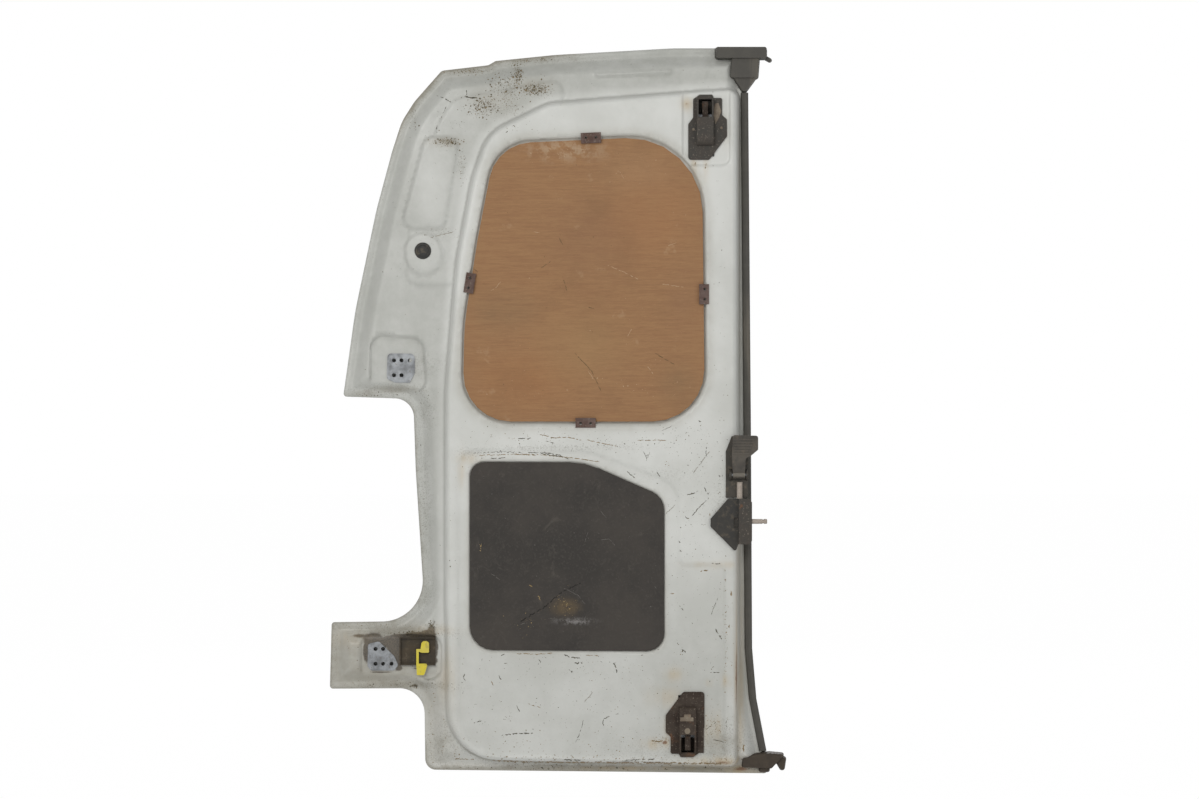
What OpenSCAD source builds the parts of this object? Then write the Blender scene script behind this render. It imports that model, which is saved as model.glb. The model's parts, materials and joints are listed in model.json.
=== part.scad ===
// Rear door of a small van, one of a pair of side-hinged doors.
// X runs from the hinge side to the meeting edge, Z is up, and -Y faces the load space.
// The origin is the centre of the lower hinge plate's face. Lengths are in millimetres.

/* [Door outline] */
// Height of the top edge above the lower hinge plate
top_z = 1004; // [970:1:1040]
// Distance of the bottom edge below the lower hinge plate
bottom_z = 195; // [188:1:215]
// Meeting edge, from the hinge plate, at the top of the door
meet_x = 600; // [585:1:640]
// How far the meeting edge flares outward at the foot
foot_flare = 38; // [26:1:42]
// Left side of the foot below the hinge arm
foot_x = 71; // [62:1:76]
// Reach of the hinge arm to the left of the hinge plate
arm_reach = 87; // [70:1:110]
// Top edge of the hinge arm
arm_top = 55; // [50:1:62]
// Lower edge of the hinge arm, below the hinge plate
arm_drop = 55; // [50:1:62]
// Right side of the tail-lamp notch
notch_x = 61; // [56:1:64]
// Top edge of the tail-lamp notch
notch_top = 426; // [410:1:440]
// Left end of the shoulder above the tail-lamp notch, measured to the left of the hinge plate
shoulder_reach = 65; // [55:1:75]

/* [Sheet and pressing depths] */
// Thickness of the inner panel sheet
panel_t = 1.4; // [1:0.1:2]
// Thickness of the outer skin sheet
skin_t = 1.5; // [1:0.1:2]
// Depth from the hinge plate's face to the hem flange
hem_y = 13; // [11:0.5:16]
// Width of the flat hem flange
hem_w = 14; // [12:0.5:18]
// Height of the land above the hinge plate's face
land_rise = 6; // [4:0.5:9]
// Height of the raised box above the hinge plate's face
crest_rise = 34; // [30:0.5:40]
// Depth of the shallow recess in the lower half of the box
recess_d = 3; // [2:0.5:5]
// Outward crown of the outer skin
skin_crown = 11; // [7:0.5:16]

/* [Board and cover] */
// Thickness of the plywood board
board_t = 6; // [4:0.5:8]
// Depth of the rebate that the board lies in
rebate_d = 10; // [8:0.5:12]
// Gap between the board and the rebate's wall
board_gap = 3; // [2:0.5:6]
// Extra gap above the board
board_drop = 1; // [0:1:8]
// Width of the rebate floor under the board's edge
rebate_lip = 14; // [10:1:20]
// Length of a board clip
clip_l = 33; // [26:1:40]
// Width of a board clip on the board and on the crest
clip_foot = 6; // [5:0.5:8]
// Thickness of a board clip
clip_t = 2; // [1.5:0.5:3]
// Radius of a clip's screw holes
clip_hole_r = 2.3; // [1.5:0.1:2.8]
// Thickness of the access cover
cover_t = 3; // [2:0.5:4]
// Depth of the pocket that the access cover lies in
cover_pocket_d = 5; // [4.5:0.5:7]
// Gap round the access cover
cover_gap = 1; // [0.5:0.5:2]

/* [Hinge plates] */
// Thickness of a hinge plate
plate_t = 2.5; // [2:0.5:3.5]
// Radius of a hinge screw hole
hinge_hole_r = 3.3; // [2.8:0.1:3.6]
// Distance between the two columns of hinge screw holes
hinge_holes_x = 12.4; // [11:0.2:13]
// Distance between the two rows of hinge screw holes
hinge_holes_z = 24.5; // [23:0.5:27]
// Height of the upper hinge plate above the lower one
hinge_gap_z = 475; // [465:1:480]

/* [Latches] */
// Width of a latch housing
latch_w = 27; // [25:1:30]
// Sheet thickness of the latch housings
latch_wall = 2.5; // [2:0.5:3]
// Thickness of a latch plate
latch_plate_t = 3; // [2:0.5:4]
// How far a latch housing stands in front of its plate
latch_rise = 14; // [12:1:18]
// Thickness of a latch claw
claw_t = 9; // [7:0.5:10]
// Radius of a claw's pivot pin
claw_pin_r = 4; // [3:0.5:5]

/* [Lever and catch] */
// Radius of the release lever's pin
lever_pin_r = 2.5; // [2:0.5:3]
// Height of the lever's pin above the lower hinge plate
lever_z = 300; // [285:1:312]
// Length of the lever above its pin
lever_l = 65; // [55:1:72]
// Width of the lever's pad with its side lip
lever_w = 43; // [38:1:46]
// Radius of the striker pin
striker_r = 4; // [3:0.5:5]
// Length of the striker pin past the catch body
striker_l = 25; // [20:1:32]
// Height of the striker pin above the lower hinge plate
striker_z = 223.5; // [215:0.5:228]

/* [Hidden] */

// Running clearance between a pin and what turns on it
pin_gap = 0.05;
// Most that one segment of a rounded corner turns
corner_step = 18;
// How far a cutting shape runs past a face
past = 1;

// Depths of the main faces
land_y = -land_rise;
crest_y = -crest_rise;
recess_y = crest_y + recess_d;
pocket_y = plate_t;
rebate_y = crest_y + rebate_d;
board_y = rebate_y - board_t;
cover_floor_y = recess_y + cover_pocket_d;
skin_y = hem_y + panel_t;
// Right side of the raised box at its foot, and where its flat crest ends
box_right = meet_x - 13;
crest_inset = 8.5;
crest_right = box_right - crest_inset;
// Lean of the rebate's wall
rebate_draft = 1;

white = [0.83, 0.84, 0.83];
black = [0.14, 0.14, 0.14];
zinc = [0.62, 0.64, 0.66];
rubber = [0.3, 0.29, 0.28];
steel = [0.3, 0.28, 0.27];

// Outlines as corners [x, z, radius], counter-clockwise as the load space sees them

// Edge of the door; meet_in moves the meeting edge inward
function door_corners(meet_in = 0) = let (right = meet_x - meet_in) [
    [foot_x, 6 - bottom_z, 18],
    [right + foot_flare, -bottom_z, 6],
    [right + 0.37 * foot_flare, 124 - bottom_z, 60],
    [right + 7, 208 - bottom_z, 150],
    [right + 5, 0.38 * top_z, 900],
    [right, top_z, 10],
    [480, top_z, 500],
    [285, top_z - 11, 500],
    [187, top_z - 21, 6],
    [175, top_z - 28, 6],
    [98, top_z - 37, 10],
    [53, top_z - 88, 90],
    [32, top_z - 121, 90],
    [16, top_z - 170, 200],
    [-10, top_z - 267, 500],
    [-45, top_z - 434, 600],
    [-shoulder_reach, notch_top + 2, 5],
    [notch_x - 10, notch_top - 2, 32],
    [notch_x - 6, notch_top - 120, 400],
    [notch_x + 10, arm_top + 2, 68],
    [3 - arm_reach, arm_top, 5],
    [-arm_reach, -arm_drop, 5],
    [foot_x - 2, 1 - arm_drop, 42]
];

// Foot of the raised box; lift raises its bottom side, where the wall leans in further
function box_corners(lift = 0) = [
    [foot_x + 36, 25 - bottom_z + lift, 88],
    [box_right, 13 - bottom_z + lift, 14],
    [box_right, top_z - 67, 16],
    [440, top_z - 78, 90],
    [275, top_z - 91, 70],
    [173, top_z - 140, 80],
    [147, top_z - 216, 200],
    [121, top_z - 354, 400],
    [notch_x + 42.5, 440, 600],
    [notch_x + 42.5, 90, 600]
];

// Edges of the board that closes the upper opening
board_left = 134;
board_right = crest_right - 46.5;
board_low = 387;
board_high = top_z - 146;

// Outline of that board; lift raises its top
function board_corners(lift = 0) = [
    [board_left, board_low, 78],
    [board_right, board_low, 85],
    [board_right - 5, board_high + lift, 122],
    [board_left + 55, board_high - 15 + lift, 72],
    [board_left + 25, board_low + 301, 500],
    [board_left + 3, board_low + 160, 400]
];

// Pocket of the access cover
cover_corners = [
    [145, 11, 40],
    [466, 9, 30],
    [466, 264, 34],
    [335, 321, 120],
    [145, 322, 25]
];

// Shallow recess of the lower half of the box
recess_corners = [
    [126, 34 - bottom_z, 78],
    [crest_right - 14, 26 - bottom_z, 12],
    [crest_right - 14, 152, 12],
    [489, 152, 14],
    [489, 284, 45],
    [344, 338, 120],
    [126, 340, 30]
];

// Flat part between the slanted band and the raised box, on the upper hinge side
upper_land_corners = [
    [38, 610, 20],
    [140, 610, 20],
    [300, top_z - 96, 20],
    [300, top_z - 50, 20],
    [118, top_z - 83, 30],
    [92, top_z - 122, 60],
    [44, top_z - 270, 300]
];

// Face of a latch plate, from the centre line of its housing
latch_corners = [
    [-27.5, -53.5, 5],
    [7, -53.5, 5],
    [36, -15, 4],
    [36, 13, 3],
    [28, 20, 3],
    [28, 48, 3],
    [14.5, 48, 1],
    [12, 53.5, 2],
    [-9, 53.5, 4],
    [-19.5, 46, 3],
    [-19.5, 16, 3],
    [-27.5, 5, 3]
];

// Hinge plates, from the lower plate's centre; the upper one has the same holes, mirrored
lower_plate_corners = [
    [-24, -17, 4],
    [-18, -24, 4],
    [20, -24, 6],
    [27, -15, 6],
    [20, 0, 8],
    [-5, 24, 5],
    [-23, 20, 5]
];
upper_plate_corners = [
    [-14, -18, 5],
    [0, -24, 5],
    [24, -24, 4],
    [32, -8, 8],
    [32, 24, 8],
    [-13, 24, 6]
];
// Place of the upper hinge plate beside the lower one
upper_plate_x = 22;
// Centre of the four hinge screw holes, from each plate's centre
lower_holes = [-4.5, -0.5];
upper_holes = [4, 0.5];
// The fifth hole lies this far beyond the pattern's right column
fifth_hole_x = 14;

// Centres of the latches on the panel
upper_latch = [crest_right - 46.5, top_z - 134];
lower_latch = [crest_right - 75, 85 - bottom_z];

// Centre and radius of the blanking plug
plug_at = [68, 668];
plug_r = 13.7;
plug_hole_r = 10;
boss_y = land_y - 7;

function unit(v) = v / norm(v);

// Point on the arc that rounds corner b between a and c, at fraction f of its turn
function arc_point(a, b, c, r, f) =
    let (
        u = unit(a - b),
        v = unit(c - b),
        half = acos(max(-1, min(1, u * v))) / 2,
        centre = b + unit(u + v) * r / sin(half),
        from = unit(b + u * r / tan(half) - centre),
        to = unit(b + v * r / tan(half) - centre),
        turn = 180 - 2 * half
    )
    centre + r * (sin((1 - f) * turn) * from + sin(f * turn) * to) / sin(turn);

function flat(corner) = [corner[0], corner[1]];
function cross2(a, b) = a[0] * b[1] - a[1] * b[0];

// The same corner with every side moved outward by grow
function grown(before, corner, after, grow) =
    let (
        d1 = unit(flat(corner) - flat(before)),
        d2 = unit(flat(after) - flat(corner)),
        n1 = [d1[1], -d1[0]],
        n2 = [d2[1], -d2[0]],
        bend = cross2(d1, d2) > 0 ? 1 : -1,
        p = flat(corner) + grow * (n1 + n2) / (1 + n1 * n2)
    )
    [p[0], p[1], max(corner[2] + bend * grow, 0.6)];

// Points of a rounded outline, with every side moved outward by grow
function outline(corners, grow = 0) =
    let (
        n = len(corners),
        moved = [for (i = [0:n - 1]) grown(corners[(i + n - 1) % n], corners[i], corners[(i + 1) % n], grow)]
    )
    [for (i = [0:n - 1])
        let (
            before = (i + n - 1) % n,
            after = (i + 1) % n,
            into = unit(flat(corners[i]) - flat(corners[before])),
            out = unit(flat(corners[after]) - flat(corners[i])),
            steps = max(2, ceil(acos(into * out) / corner_step))
        )
        for (k = [0:steps])
            arc_point(flat(moved[before]), flat(moved[i]), flat(moved[after]), moved[i][2], k / steps)];

// An outline as a ring of points at depth y
function ring(corners, grow, y) = [for (p = outline(corners, grow)) [p[0], y, p[1]]];

// Solid through rings that have equal numbers of points, from the back one to the front one
module loft(rings) {
    n = len(rings[0]);
    last = len(rings) - 1;
    polyhedron(
        points = [for (one = rings) each one],
        faces = concat(
            [[for (i = [0:n - 1]) i]],
            [for (k = [0:last - 1], i = [0:n - 1])
                let (a = k * n + i, b = k * n + (i + 1) % n)
                each [[a, a + n, b], [b, a + n, b + n]]],
            [[for (i = [n - 1:-1:0]) last * n + i]]
        )
    );
}

// Loft of one outline through steps [grow, y]; sink makes the same form one sheet further back
module pressed(corners, steps, sink = 0) {
    loft([for (step = steps) ring(corners, step[0] - sink, step[1] + sink)]);
}

// The same for a form that is cut away, which grows as it sinks
module pressed_in(corners, steps, sink = 0) {
    loft([for (step = steps) ring(corners, step[0] + sink, step[1] + sink)]);
}

// Plate of an outline, from depth back to depth front
module plate(corners, back, front, grow = 0) {
    translate([0, back, 0])
        rotate([90, 0, 0])
            linear_extrude(back - front)
                polygon(outline(corners, grow));
}

// Cylinder that points at the load space, from depth back to depth front
module post(at, r, back, front) {
    translate([at[0], back, at[1]])
        rotate([90, 0, 0])
            cylinder(h = back - front, r = r);
}

// Block between two corners
module block(low, high) {
    translate(low)
        cube(high - low);
}

// Raised pad through spots, with walls that lean in by lean
module raised_pad(spots, r, back, front, sink, lean = 3) {
    hull()
        for (spot = spots)
            translate([spot[0], back + sink, spot[1]])
                rotate([90, 0, 0])
                    cylinder(h = back - front, r1 = r - sink, r2 = r - lean - sink, $fn = 20);
}

// Dish through spots, with walls that lean out by lean
module dish(spots, r, floor_y, open_y, sink, lean = 3) {
    hull()
        for (spot = spots)
            translate([spot[0], floor_y + sink, spot[1]])
                rotate([90, 0, 0])
                    cylinder(h = floor_y - open_y, r1 = r + sink, r2 = r + lean + sink, $fn = 20);
}

// Outer form of the inner panel; sink = 0 is the face, and sink = panel_t is the back of the sheet
module panel_form(sink) {
    back = sink > 0 ? skin_y + past - sink : skin_y;
    difference() {
        union() {
            if (sink > 0)
                pressed(door_corners(), [
                    [-hem_w, back], [-hem_w, hem_y], [-hem_w - 16, land_y + 2], [-hem_w - 20, land_y]
                ], sink);
            else
                pressed(door_corners(), [
                    [0, back], [0, hem_y], [-hem_w, hem_y], [-hem_w - 16, land_y + 2], [-hem_w - 20, land_y]
                ]);
            loft([for (step = [
                [4, back, 0], [4, hem_y, 0], [0, land_y, 0], [-3, crest_y + 10, 8], [-5, crest_y + 3, 11],
                [-crest_inset, crest_y, 14]
            ]) ring(box_corners(step[2]), step[0] - sink, step[1] + sink)]);
            pressed(upper_land_corners, [[0, hem_y], [0, land_y], [-4, land_y - 3]], sink);
            raised_pad([[85, 838], [107, 838], [54, 722], [88, 722]], 14, land_y, boss_y, sink);
            raised_pad([[box_right - 12, 34 - bottom_z], [box_right - 12, 24 - bottom_z]], 12, hem_y, crest_y + 9,
                sink, 5);
            raised_pad([plug_at, plug_at + [2, -10]], 32, land_y, boss_y, sink);
            raised_pad([[356, top_z - 46], [474, top_z - 40]], 5, land_y, land_y - 3, sink, 2);
        }
        pressed_in(board_corners(board_drop), [
            [board_gap, rebate_y], [board_gap + rebate_draft, crest_y + 1],
            [board_gap + 2 * rebate_draft, crest_y - past]
        ], sink);
        pressed_in(recess_corners, [[-2, recess_y], [1, crest_y - past]], sink);
        pressed_in(cover_corners, [[0, cover_floor_y], [1.5, recess_y - past]], sink);
        dish([[2, notch_top + 30], [52, notch_top + 30], [2, notch_top + 82], [48, notch_top + 78]],
            20, pocket_y, land_y - past, sink);
        dish([[-14, -18], [-14, 16], [78, -18], [78, 14]], 20, pocket_y, land_y - past, sink);
        dish([upper_latch + [-24, -50], upper_latch + [28, -50], upper_latch + [28, 70],
            upper_latch + [-24, 70]], 12, recess_y, crest_y - past, sink, 2);
        dish([lower_latch + [24, 50], lower_latch + [-28, 50], lower_latch + [-28, -70],
            lower_latch + [24, -70]], 12, recess_y, crest_y - past, sink, 2);
    }
}

module inner_panel() {
    color(white)
        difference() {
            panel_form(0);
            panel_form(panel_t);
            plate(board_corners(), 0, crest_y - past, -rebate_lip);
            plate(cover_corners, 0, crest_y - past, -12);
            post(plug_at, plug_hole_r + 0.4, 0, crest_y);
            for (at = [[lower_holes[0] + 3, 0], [upper_plate_x + upper_holes[0] + 3, hinge_gap_z]])
                block([at[0] - 16, -past, at[1] - 17], [at[0] + 16, hem_y - past, at[1] + 17]);
            for (at = [upper_latch, lower_latch])
                block([at[0] - latch_w / 2 - 2, crest_y - past, at[1] - 48],
                    [at[0] + latch_w / 2 + 2, crest_y + 14, at[1] + 48]);
        }
}

// Pressing through spots, depth deep from the crown of the skin
module skin_pressing(spots, r, depth, sink) {
    hull()
        for (spot = spots)
            translate([spot[0], skin_y + skin_t + skin_crown - depth - sink, spot[1]])
                rotate([-90, 0, 0])
                    cylinder(h = depth + past + sink, r1 = r - 3 + sink, r2 = r + sink, $fn = 32);
}

// Width of the folded hem's edge round the skin
hem_fold = 1;

// Outside form of the skin; sink = skin_t is its inside, and opens through the hem
module skin_form(sink) {
    back = skin_y + skin_t;
    steps = [
        [-42, back + skin_crown], [-24, back + skin_crown - 1.5], [-11, back + skin_crown - 4.5],
        [-4, back + skin_crown - 8], [-hem_fold - 0.5, back + 0.8], [-hem_fold, back - skin_t / 2]
    ];
    difference() {
        loft(concat(
            [for (step = steps) ring(door_corners(hem_w), step[0] - sink, step[1] - sink)],
            sink > 0 ? [ring(door_corners(hem_w), -hem_fold - sink, skin_y - past)] : []
        ));
        // Blanked window, pressed in behind its stepped border
        for (k = [0:1])
            skin_pressing([[210, 450], [480, 450], [480, 790], [240, 790]], 64 - 8 * k, 1.5 * k + 1.5, sink);
        // Two swages across the lower half
        for (z = [330, -60])
            skin_pressing([[170, z], [520, z]], 9, 2, sink);
    }
}

module outer_skin() {
    color(white)
        difference() {
            union() {
                plate(door_corners(), skin_y + skin_t, skin_y);
                skin_form(0);
            }
            skin_form(skin_t);
        }
}

// Plate with the four screw holes of a hinge and the fifth one beside them
module hinge_plate(corners, holes, fifth_row) {
    difference() {
        plate(corners, plate_t, 0);
        for (column = [-1, 1], row = [-1, 1])
            post(holes + [column * hinge_holes_x / 2, row * hinge_holes_z / 2], hinge_hole_r,
                plate_t + past, -past);
        post(holes + [hinge_holes_x / 2 + fifth_hole_x, fifth_row * hinge_holes_z / 2], hinge_hole_r,
            plate_t + past, -past);
    }
}

module lower_hinge_plate() {
    color(zinc)
        hinge_plate(lower_plate_corners, lower_holes, -1);
}

module upper_hinge_plate() {
    color(zinc)
        translate([upper_plate_x, 0, hinge_gap_z])
            hinge_plate(upper_plate_corners, upper_holes, 1);
}

module blanking_plug() {
    color(black)
        translate([plug_at[0], boss_y, plug_at[1]])
            rotate([90, 0, 0])
                rotate_extrude($fn = 48)
                    polygon([
                        [0, -8], [plug_hole_r - 1, -8], [plug_hole_r, -6], [plug_hole_r, 0], [plug_r, 0],
                        [plug_r, 1.2], [plug_r - 1.5, 2.4], [plug_r - 4, 2.6], [plug_r - 5, 1.6], [0, 1.6]
                    ]);
}

module plywood_board() {
    color([0.59, 0.46, 0.33])
        plate(board_corners(), rebate_y, board_y);
}

// Clip with one edge on the crest and a foot on the board; +Z of the clip points away from the board
module board_clip(at, turn, extra = 0) {
    reach = board_gap + 2 * rebate_draft + clip_foot - 1 + extra;
    color([0.37, 0.31, 0.29])
        translate([at[0], 0, at[1]])
            rotate([0, turn, 0])
                difference() {
                    union() {
                        block([-clip_l / 2, crest_y - clip_t, -clip_foot], [clip_l / 2, crest_y, reach]);
                        block([-clip_l / 2, crest_y, -clip_foot], [clip_l / 2, board_y, clip_t - clip_foot]);
                    }
                    for (side = [-1, 1])
                        post([side * clip_l / 4, 3], clip_hole_r, crest_y + past, crest_y - clip_t - past);
                }
}

module board_clip_top() {
    board_clip([345, board_high - 8], -2.5, board_drop);
}

module board_clip_right() {
    board_clip([board_right - 3.5, 596], 90);
}

module board_clip_bottom() {
    board_clip([336, board_low], 180);
}

module board_clip_left() {
    board_clip([board_left + 14, 614], -81);
}

module access_cover() {
    color([0.27, 0.26, 0.25])
        plate(cover_corners, cover_floor_y, cover_floor_y - cover_t, -cover_gap);
}

// Meeting edge at height z, straight between the corners of the door's outline
function edge_x(z) = let (c = door_corners()) lookup(z, [for (i = [1:5]) [c[i][1], c[i][0]]]);

// Section of the seal across the meeting edge, from the edge of the sheet
seal_out = 4;
seal_in = 8.5;
seal_section = [
    [-seal_in, hem_y], [-seal_in, hem_y - 5], [2 - seal_in, hem_y - 9], [-2, hem_y - 11], [2, hem_y - 10],
    [seal_out, hem_y - 7], [seal_out, skin_y + skin_t + 2], [seal_out - 2, skin_y + skin_t + 3],
    [-seal_in, skin_y + skin_t + 3], [-seal_in, skin_y + skin_t], [0.3, skin_y + skin_t], [0.3, hem_y]
];
seal_top = top_z - 74;
seal_bottom = 38 - bottom_z;

module edge_seal() {
    color(rubber)
        loft([for (z = [seal_bottom, seal_bottom + 44, for (k = [2:4]) door_corners()[k][1], seal_top])
            [for (p = seal_section) [edge_x(z) + p[0], p[1], z]]]);
}

// Rounded lump of rubber through spots
module lump(spots, r, back, front) {
    hull()
        for (spot = spots)
            translate([spot[0], back, spot[1]])
                rotate([90, 0, 0])
                    cylinder(h = back - front, r1 = r, r2 = r - 2, $fn = 16);
}

module seal_cap_top() {
    left = meet_x - 46;
    right = meet_x + 31;
    high = top_z - 3;
    color(rubber)
        difference() {
            union() {
                lump([[left, high], [left, high - 12], [right, high - 12], [right, high]], 5, hem_y, -12);
                lump([[right, high - 12], [right + 9, high - 17]], 4, hem_y, 0);
                lump([[left + 26, high - 18], [right - 12, high - 18], [left + 24, high - 44],
                    [right - 14, high - 44]], 5, hem_y, -6);
                lump([[left + 28, high - 44], [right - 16, high - 44], [meet_x - 3, seal_top + 5],
                    [meet_x - 1, seal_top + 5]], 5, hem_y, -2);
            }
            panel_form(0);
        }
}

module seal_cap_bottom() {
    foot = edge_x(seal_bottom);
    low = -bottom_z;
    color(rubber)
        difference() {
            union() {
                lump([[foot - 33, low + 14], [foot - 33, low + 24], [foot - 15, low + 30], [foot + 9, low + 33],
                    [foot + 29, low + 31], [foot + 11, low + 12]], 4, hem_y, -5);
                lump([[foot + 18, low + 30], [foot + 32, low + 24], [foot + 30, low + 10]], 5, hem_y, 0);
                lump([[foot - 5, low + 12], [foot - 5, low + 6], [foot + 6, low + 6], [foot + 6, low + 12]],
                    4, hem_y, 0);
                lump([[foot - 3, low + 20], [foot, seal_bottom - 4]], 4, hem_y, 2);
            }
            panel_form(0);
        }
}

// Place of a latch: along the door and up it, turned over for the lower one
module latch_at(place, over) {
    translate([place[0], 0, place[1]])
        rotate([0, over ? 180 : 0, 0])
            children();
}

latch_face_y = recess_y - latch_plate_t;
latch_front_y = latch_face_y - latch_rise;
latch_back_y = latch_face_y + 22;
latch_low = -30;
latch_high = 46;
claw_pivot = [latch_face_y + 4, 18];
// Top of the housing's front wall, below the claw's mouth
mouth_low = 16;

// Solid of a side profile [y, z], width wide and centred on X
module across(width) {
    translate([-width / 2, 0, 0])
        rotate([90, 0, 90])
            linear_extrude(width)
                children();
}

// Pin or bore along X through [y, z]
module cross_pin(at, r, width) {
    translate([-width / 2, at[0], at[1]])
        rotate([0, 90, 0])
            cylinder(h = width, r = r, $fn = 48);
}

module latch_plate() {
    color(steel)
        difference() {
            plate(latch_corners, recess_y, latch_face_y);
            block([-latch_w / 2, latch_face_y - past, latch_low], [latch_w / 2, recess_y + past, latch_high]);
        }
}

module latch_housing() {
    shell = [
        [latch_front_y, latch_low, 12], [latch_back_y, latch_low, 4], [latch_back_y, latch_high, 4],
        [latch_front_y, latch_high, 8]
    ];
    color(steel)
        difference() {
            across(latch_w)
                polygon(outline(shell));
            across(latch_w - 2 * latch_wall)
                polygon(outline(shell, -latch_wall));
            across(latch_w - 2 * latch_wall)
                translate([latch_front_y - past, mouth_low])
                    square([latch_back_y - latch_front_y + past - latch_wall, 90]);
            cross_pin(claw_pivot, claw_pin_r, latch_w + 2);
        }
}

// Fork that holds the striker bar between its two arms
module latch_claw() {
    color([0.42, 0.36, 0.33])
        difference() {
            across(claw_t) {
                hull() {
                    translate(claw_pivot)
                        circle(r = claw_pin_r + 4.5, $fn = 48);
                    translate(claw_pivot + [-9, 20])
                        circle(r = 4, $fn = 32);
                }
                hull() {
                    translate(claw_pivot)
                        circle(r = claw_pin_r + 4.5, $fn = 48);
                    translate(claw_pivot + [6, 18])
                        circle(r = 4, $fn = 32);
                }
            }
            cross_pin(claw_pivot, claw_pin_r + pin_gap, claw_t + 2);
        }
}

module latch_pin() {
    color(zinc)
        cross_pin(claw_pivot, claw_pin_r, latch_w);
}

module upper_latch_plate() {
    latch_at(upper_latch, false) latch_plate();
}

module upper_latch_housing() {
    latch_at(upper_latch, false) latch_housing();
}

module upper_latch_claw() {
    latch_at(upper_latch, false) latch_claw();
}

module upper_latch_pin() {
    latch_at(upper_latch, false) latch_pin();
}

module lower_latch_plate() {
    latch_at(lower_latch, true) latch_plate();
}

module lower_latch_housing() {
    latch_at(lower_latch, true) latch_housing();
}

module lower_latch_claw() {
    latch_at(lower_latch, true) latch_claw();
}

module lower_latch_pin() {
    latch_at(lower_latch, true) latch_pin();
}

// Lever on the meeting edge: its pin runs along X
bracket_t = 3;
lever_x = crest_right + 8.5;
lever_neck = 20;
lever_t = 7;
lever_y = crest_y - bracket_t - 11;
eye_r = lever_pin_r + 3.5;
ear_t = 3.5;
ear_gap = 2;
ear_x = lever_neck / 2 + ear_gap;
pad_left = lever_x - 11.5;

module at_lever() {
    translate([lever_x, 0, 0])
        children();
}

module lever_bracket() {
    eye = [lever_y, lever_z];
    color(black)
        difference() {
            union() {
                plate([
                    [crest_right - 12.5, lever_z - 38, 1], [lever_x + ear_x + ear_t, lever_z - 38, 1],
                    [lever_x + ear_x + ear_t, lever_z + 34, 2], [lever_x + 8, lever_z + lever_l - 2, 3],
                    [pad_left, lever_z + lever_l - 2, 2], [crest_right - 12.5, lever_z + 38, 6]
                ], crest_y, crest_y - bracket_t);
                for (side = [-1, 1])
                    translate([lever_x + side * (ear_x + ear_t / 2), 0, 0])
                        across(ear_t)
                            hull() {
                                translate(eye)
                                    circle(r = eye_r, $fn = 48);
                                translate([crest_y - bracket_t, lever_z - 10])
                                    square([bracket_t, 20]);
                            }
            }
            at_lever()
                cross_pin(eye, lever_pin_r, 2 * (ear_x + ear_t) + 2);
        }
}

module lever_pin() {
    color(zinc)
        at_lever()
            cross_pin([lever_y, lever_z], lever_pin_r, 2 * (ear_x + ear_t));
}

module release_lever() {
    top = lever_z + lever_l;
    front = lever_y - lever_t / 2;
    pad_right = pad_left + lever_w;
    color(black)
        difference() {
            union() {
                at_lever()
                    cross_pin([lever_y, lever_z], eye_r, lever_neck);
                plate([
                    [lever_x - lever_neck / 2, lever_z, 0.6], [lever_x + lever_neck / 2, lever_z, 0.6],
                    [lever_x + lever_neck / 2 + 1, top - 38, 5], [pad_right - 12, top - 34, 3],
                    [pad_right, top - 24, 3], [pad_right, top - 1, 4], [pad_left + 2, top, 3],
                    [pad_left, top - 34, 6]
                ], front + lever_t, front);
                for (k = [0:5])
                    block([pad_left + 3, front - 1.6, top - 31.5 + k * 4.6],
                        [pad_right - 15 + k * 1.8, front + past, top - 29.3 + k * 4.6]);
                block([pad_right - 3, front, top - 22], [pad_right, front + 15, top - 5]);
            }
            at_lever()
                cross_pin([lever_y, lever_z], lever_pin_r + pin_gap, lever_neck + 2);
        }
}

// Centre catch: a block past the crest, on a foot that a diamond-shaped cover hides
catch_right = meet_x + 8.5;
catch_left = crest_right + 8.5;
catch_top = lever_z - 39;
catch_front = crest_y - 16;
foot_left = crest_right - 18.5;
foot_t = 3;
cover_rise = 6;

module catch_body() {
    low = striker_z - 37.5;
    color(steel)
        difference() {
            union() {
                plate([
                    [catch_left, low, 1], [catch_right - 5, low, 2], [catch_right, low + 6, 2],
                    [catch_right, catch_top - 6, 2], [catch_right - 5, catch_top, 2], [catch_left, catch_top, 1]
                ], crest_y, catch_front);
                block([foot_left, crest_y - foot_t, striker_z - 26], [catch_left + past, crest_y, striker_z + 21]);
            }
            translate([catch_right - 10, striker_axis_y, striker_z])
                rotate([0, 90, 0])
                    cylinder(h = 12, r = striker_r, $fn = 48);
        }
}

striker_axis_y = crest_y - 8;

module catch_cover() {
    left = crest_right - 37.5;
    color(black)
        difference() {
            plate([
                [left, striker_z - 9, 2], [left + 41, striker_z - 50, 3], [catch_left, striker_z - 37, 2],
                [catch_left, lever_z - 39, 1], [left + 29, lever_z - 39, 3], [left, striker_z + 4, 2]
            ], crest_y, crest_y - cover_rise);
            block([foot_left, crest_y - foot_t, striker_z - 26], [catch_left + past, crest_y + past, striker_z + 21]);
            block([catch_left - 8, crest_y - cover_rise - past, striker_z - 11],
                [catch_left - 1, crest_y - foot_t, striker_z + 6]);
        }
}

module link_rod() {
    color(zinc)
        translate([catch_left + 1.5, crest_y - 8, catch_top])
            cylinder(h = lever_z - 12 - catch_top, r = 4.6, $fn = 40);
}

module striker_pin() {
    color(zinc)
        translate([catch_right - 10, striker_axis_y, striker_z])
            rotate([0, 90, 0])
                rotate_extrude($fn = 48)
                    polygon([
                        [0, 0], [striker_r, 0], [striker_r, striker_l + 2], [striker_r - 0.8, striker_l + 2.5],
                        [striker_r - 0.8, striker_l + 4.5], [striker_r, striker_l + 5],
                        [striker_r, striker_l + 9], [striker_r - 1, striker_l + 10], [0, striker_l + 10]
                    ]);
}

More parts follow.
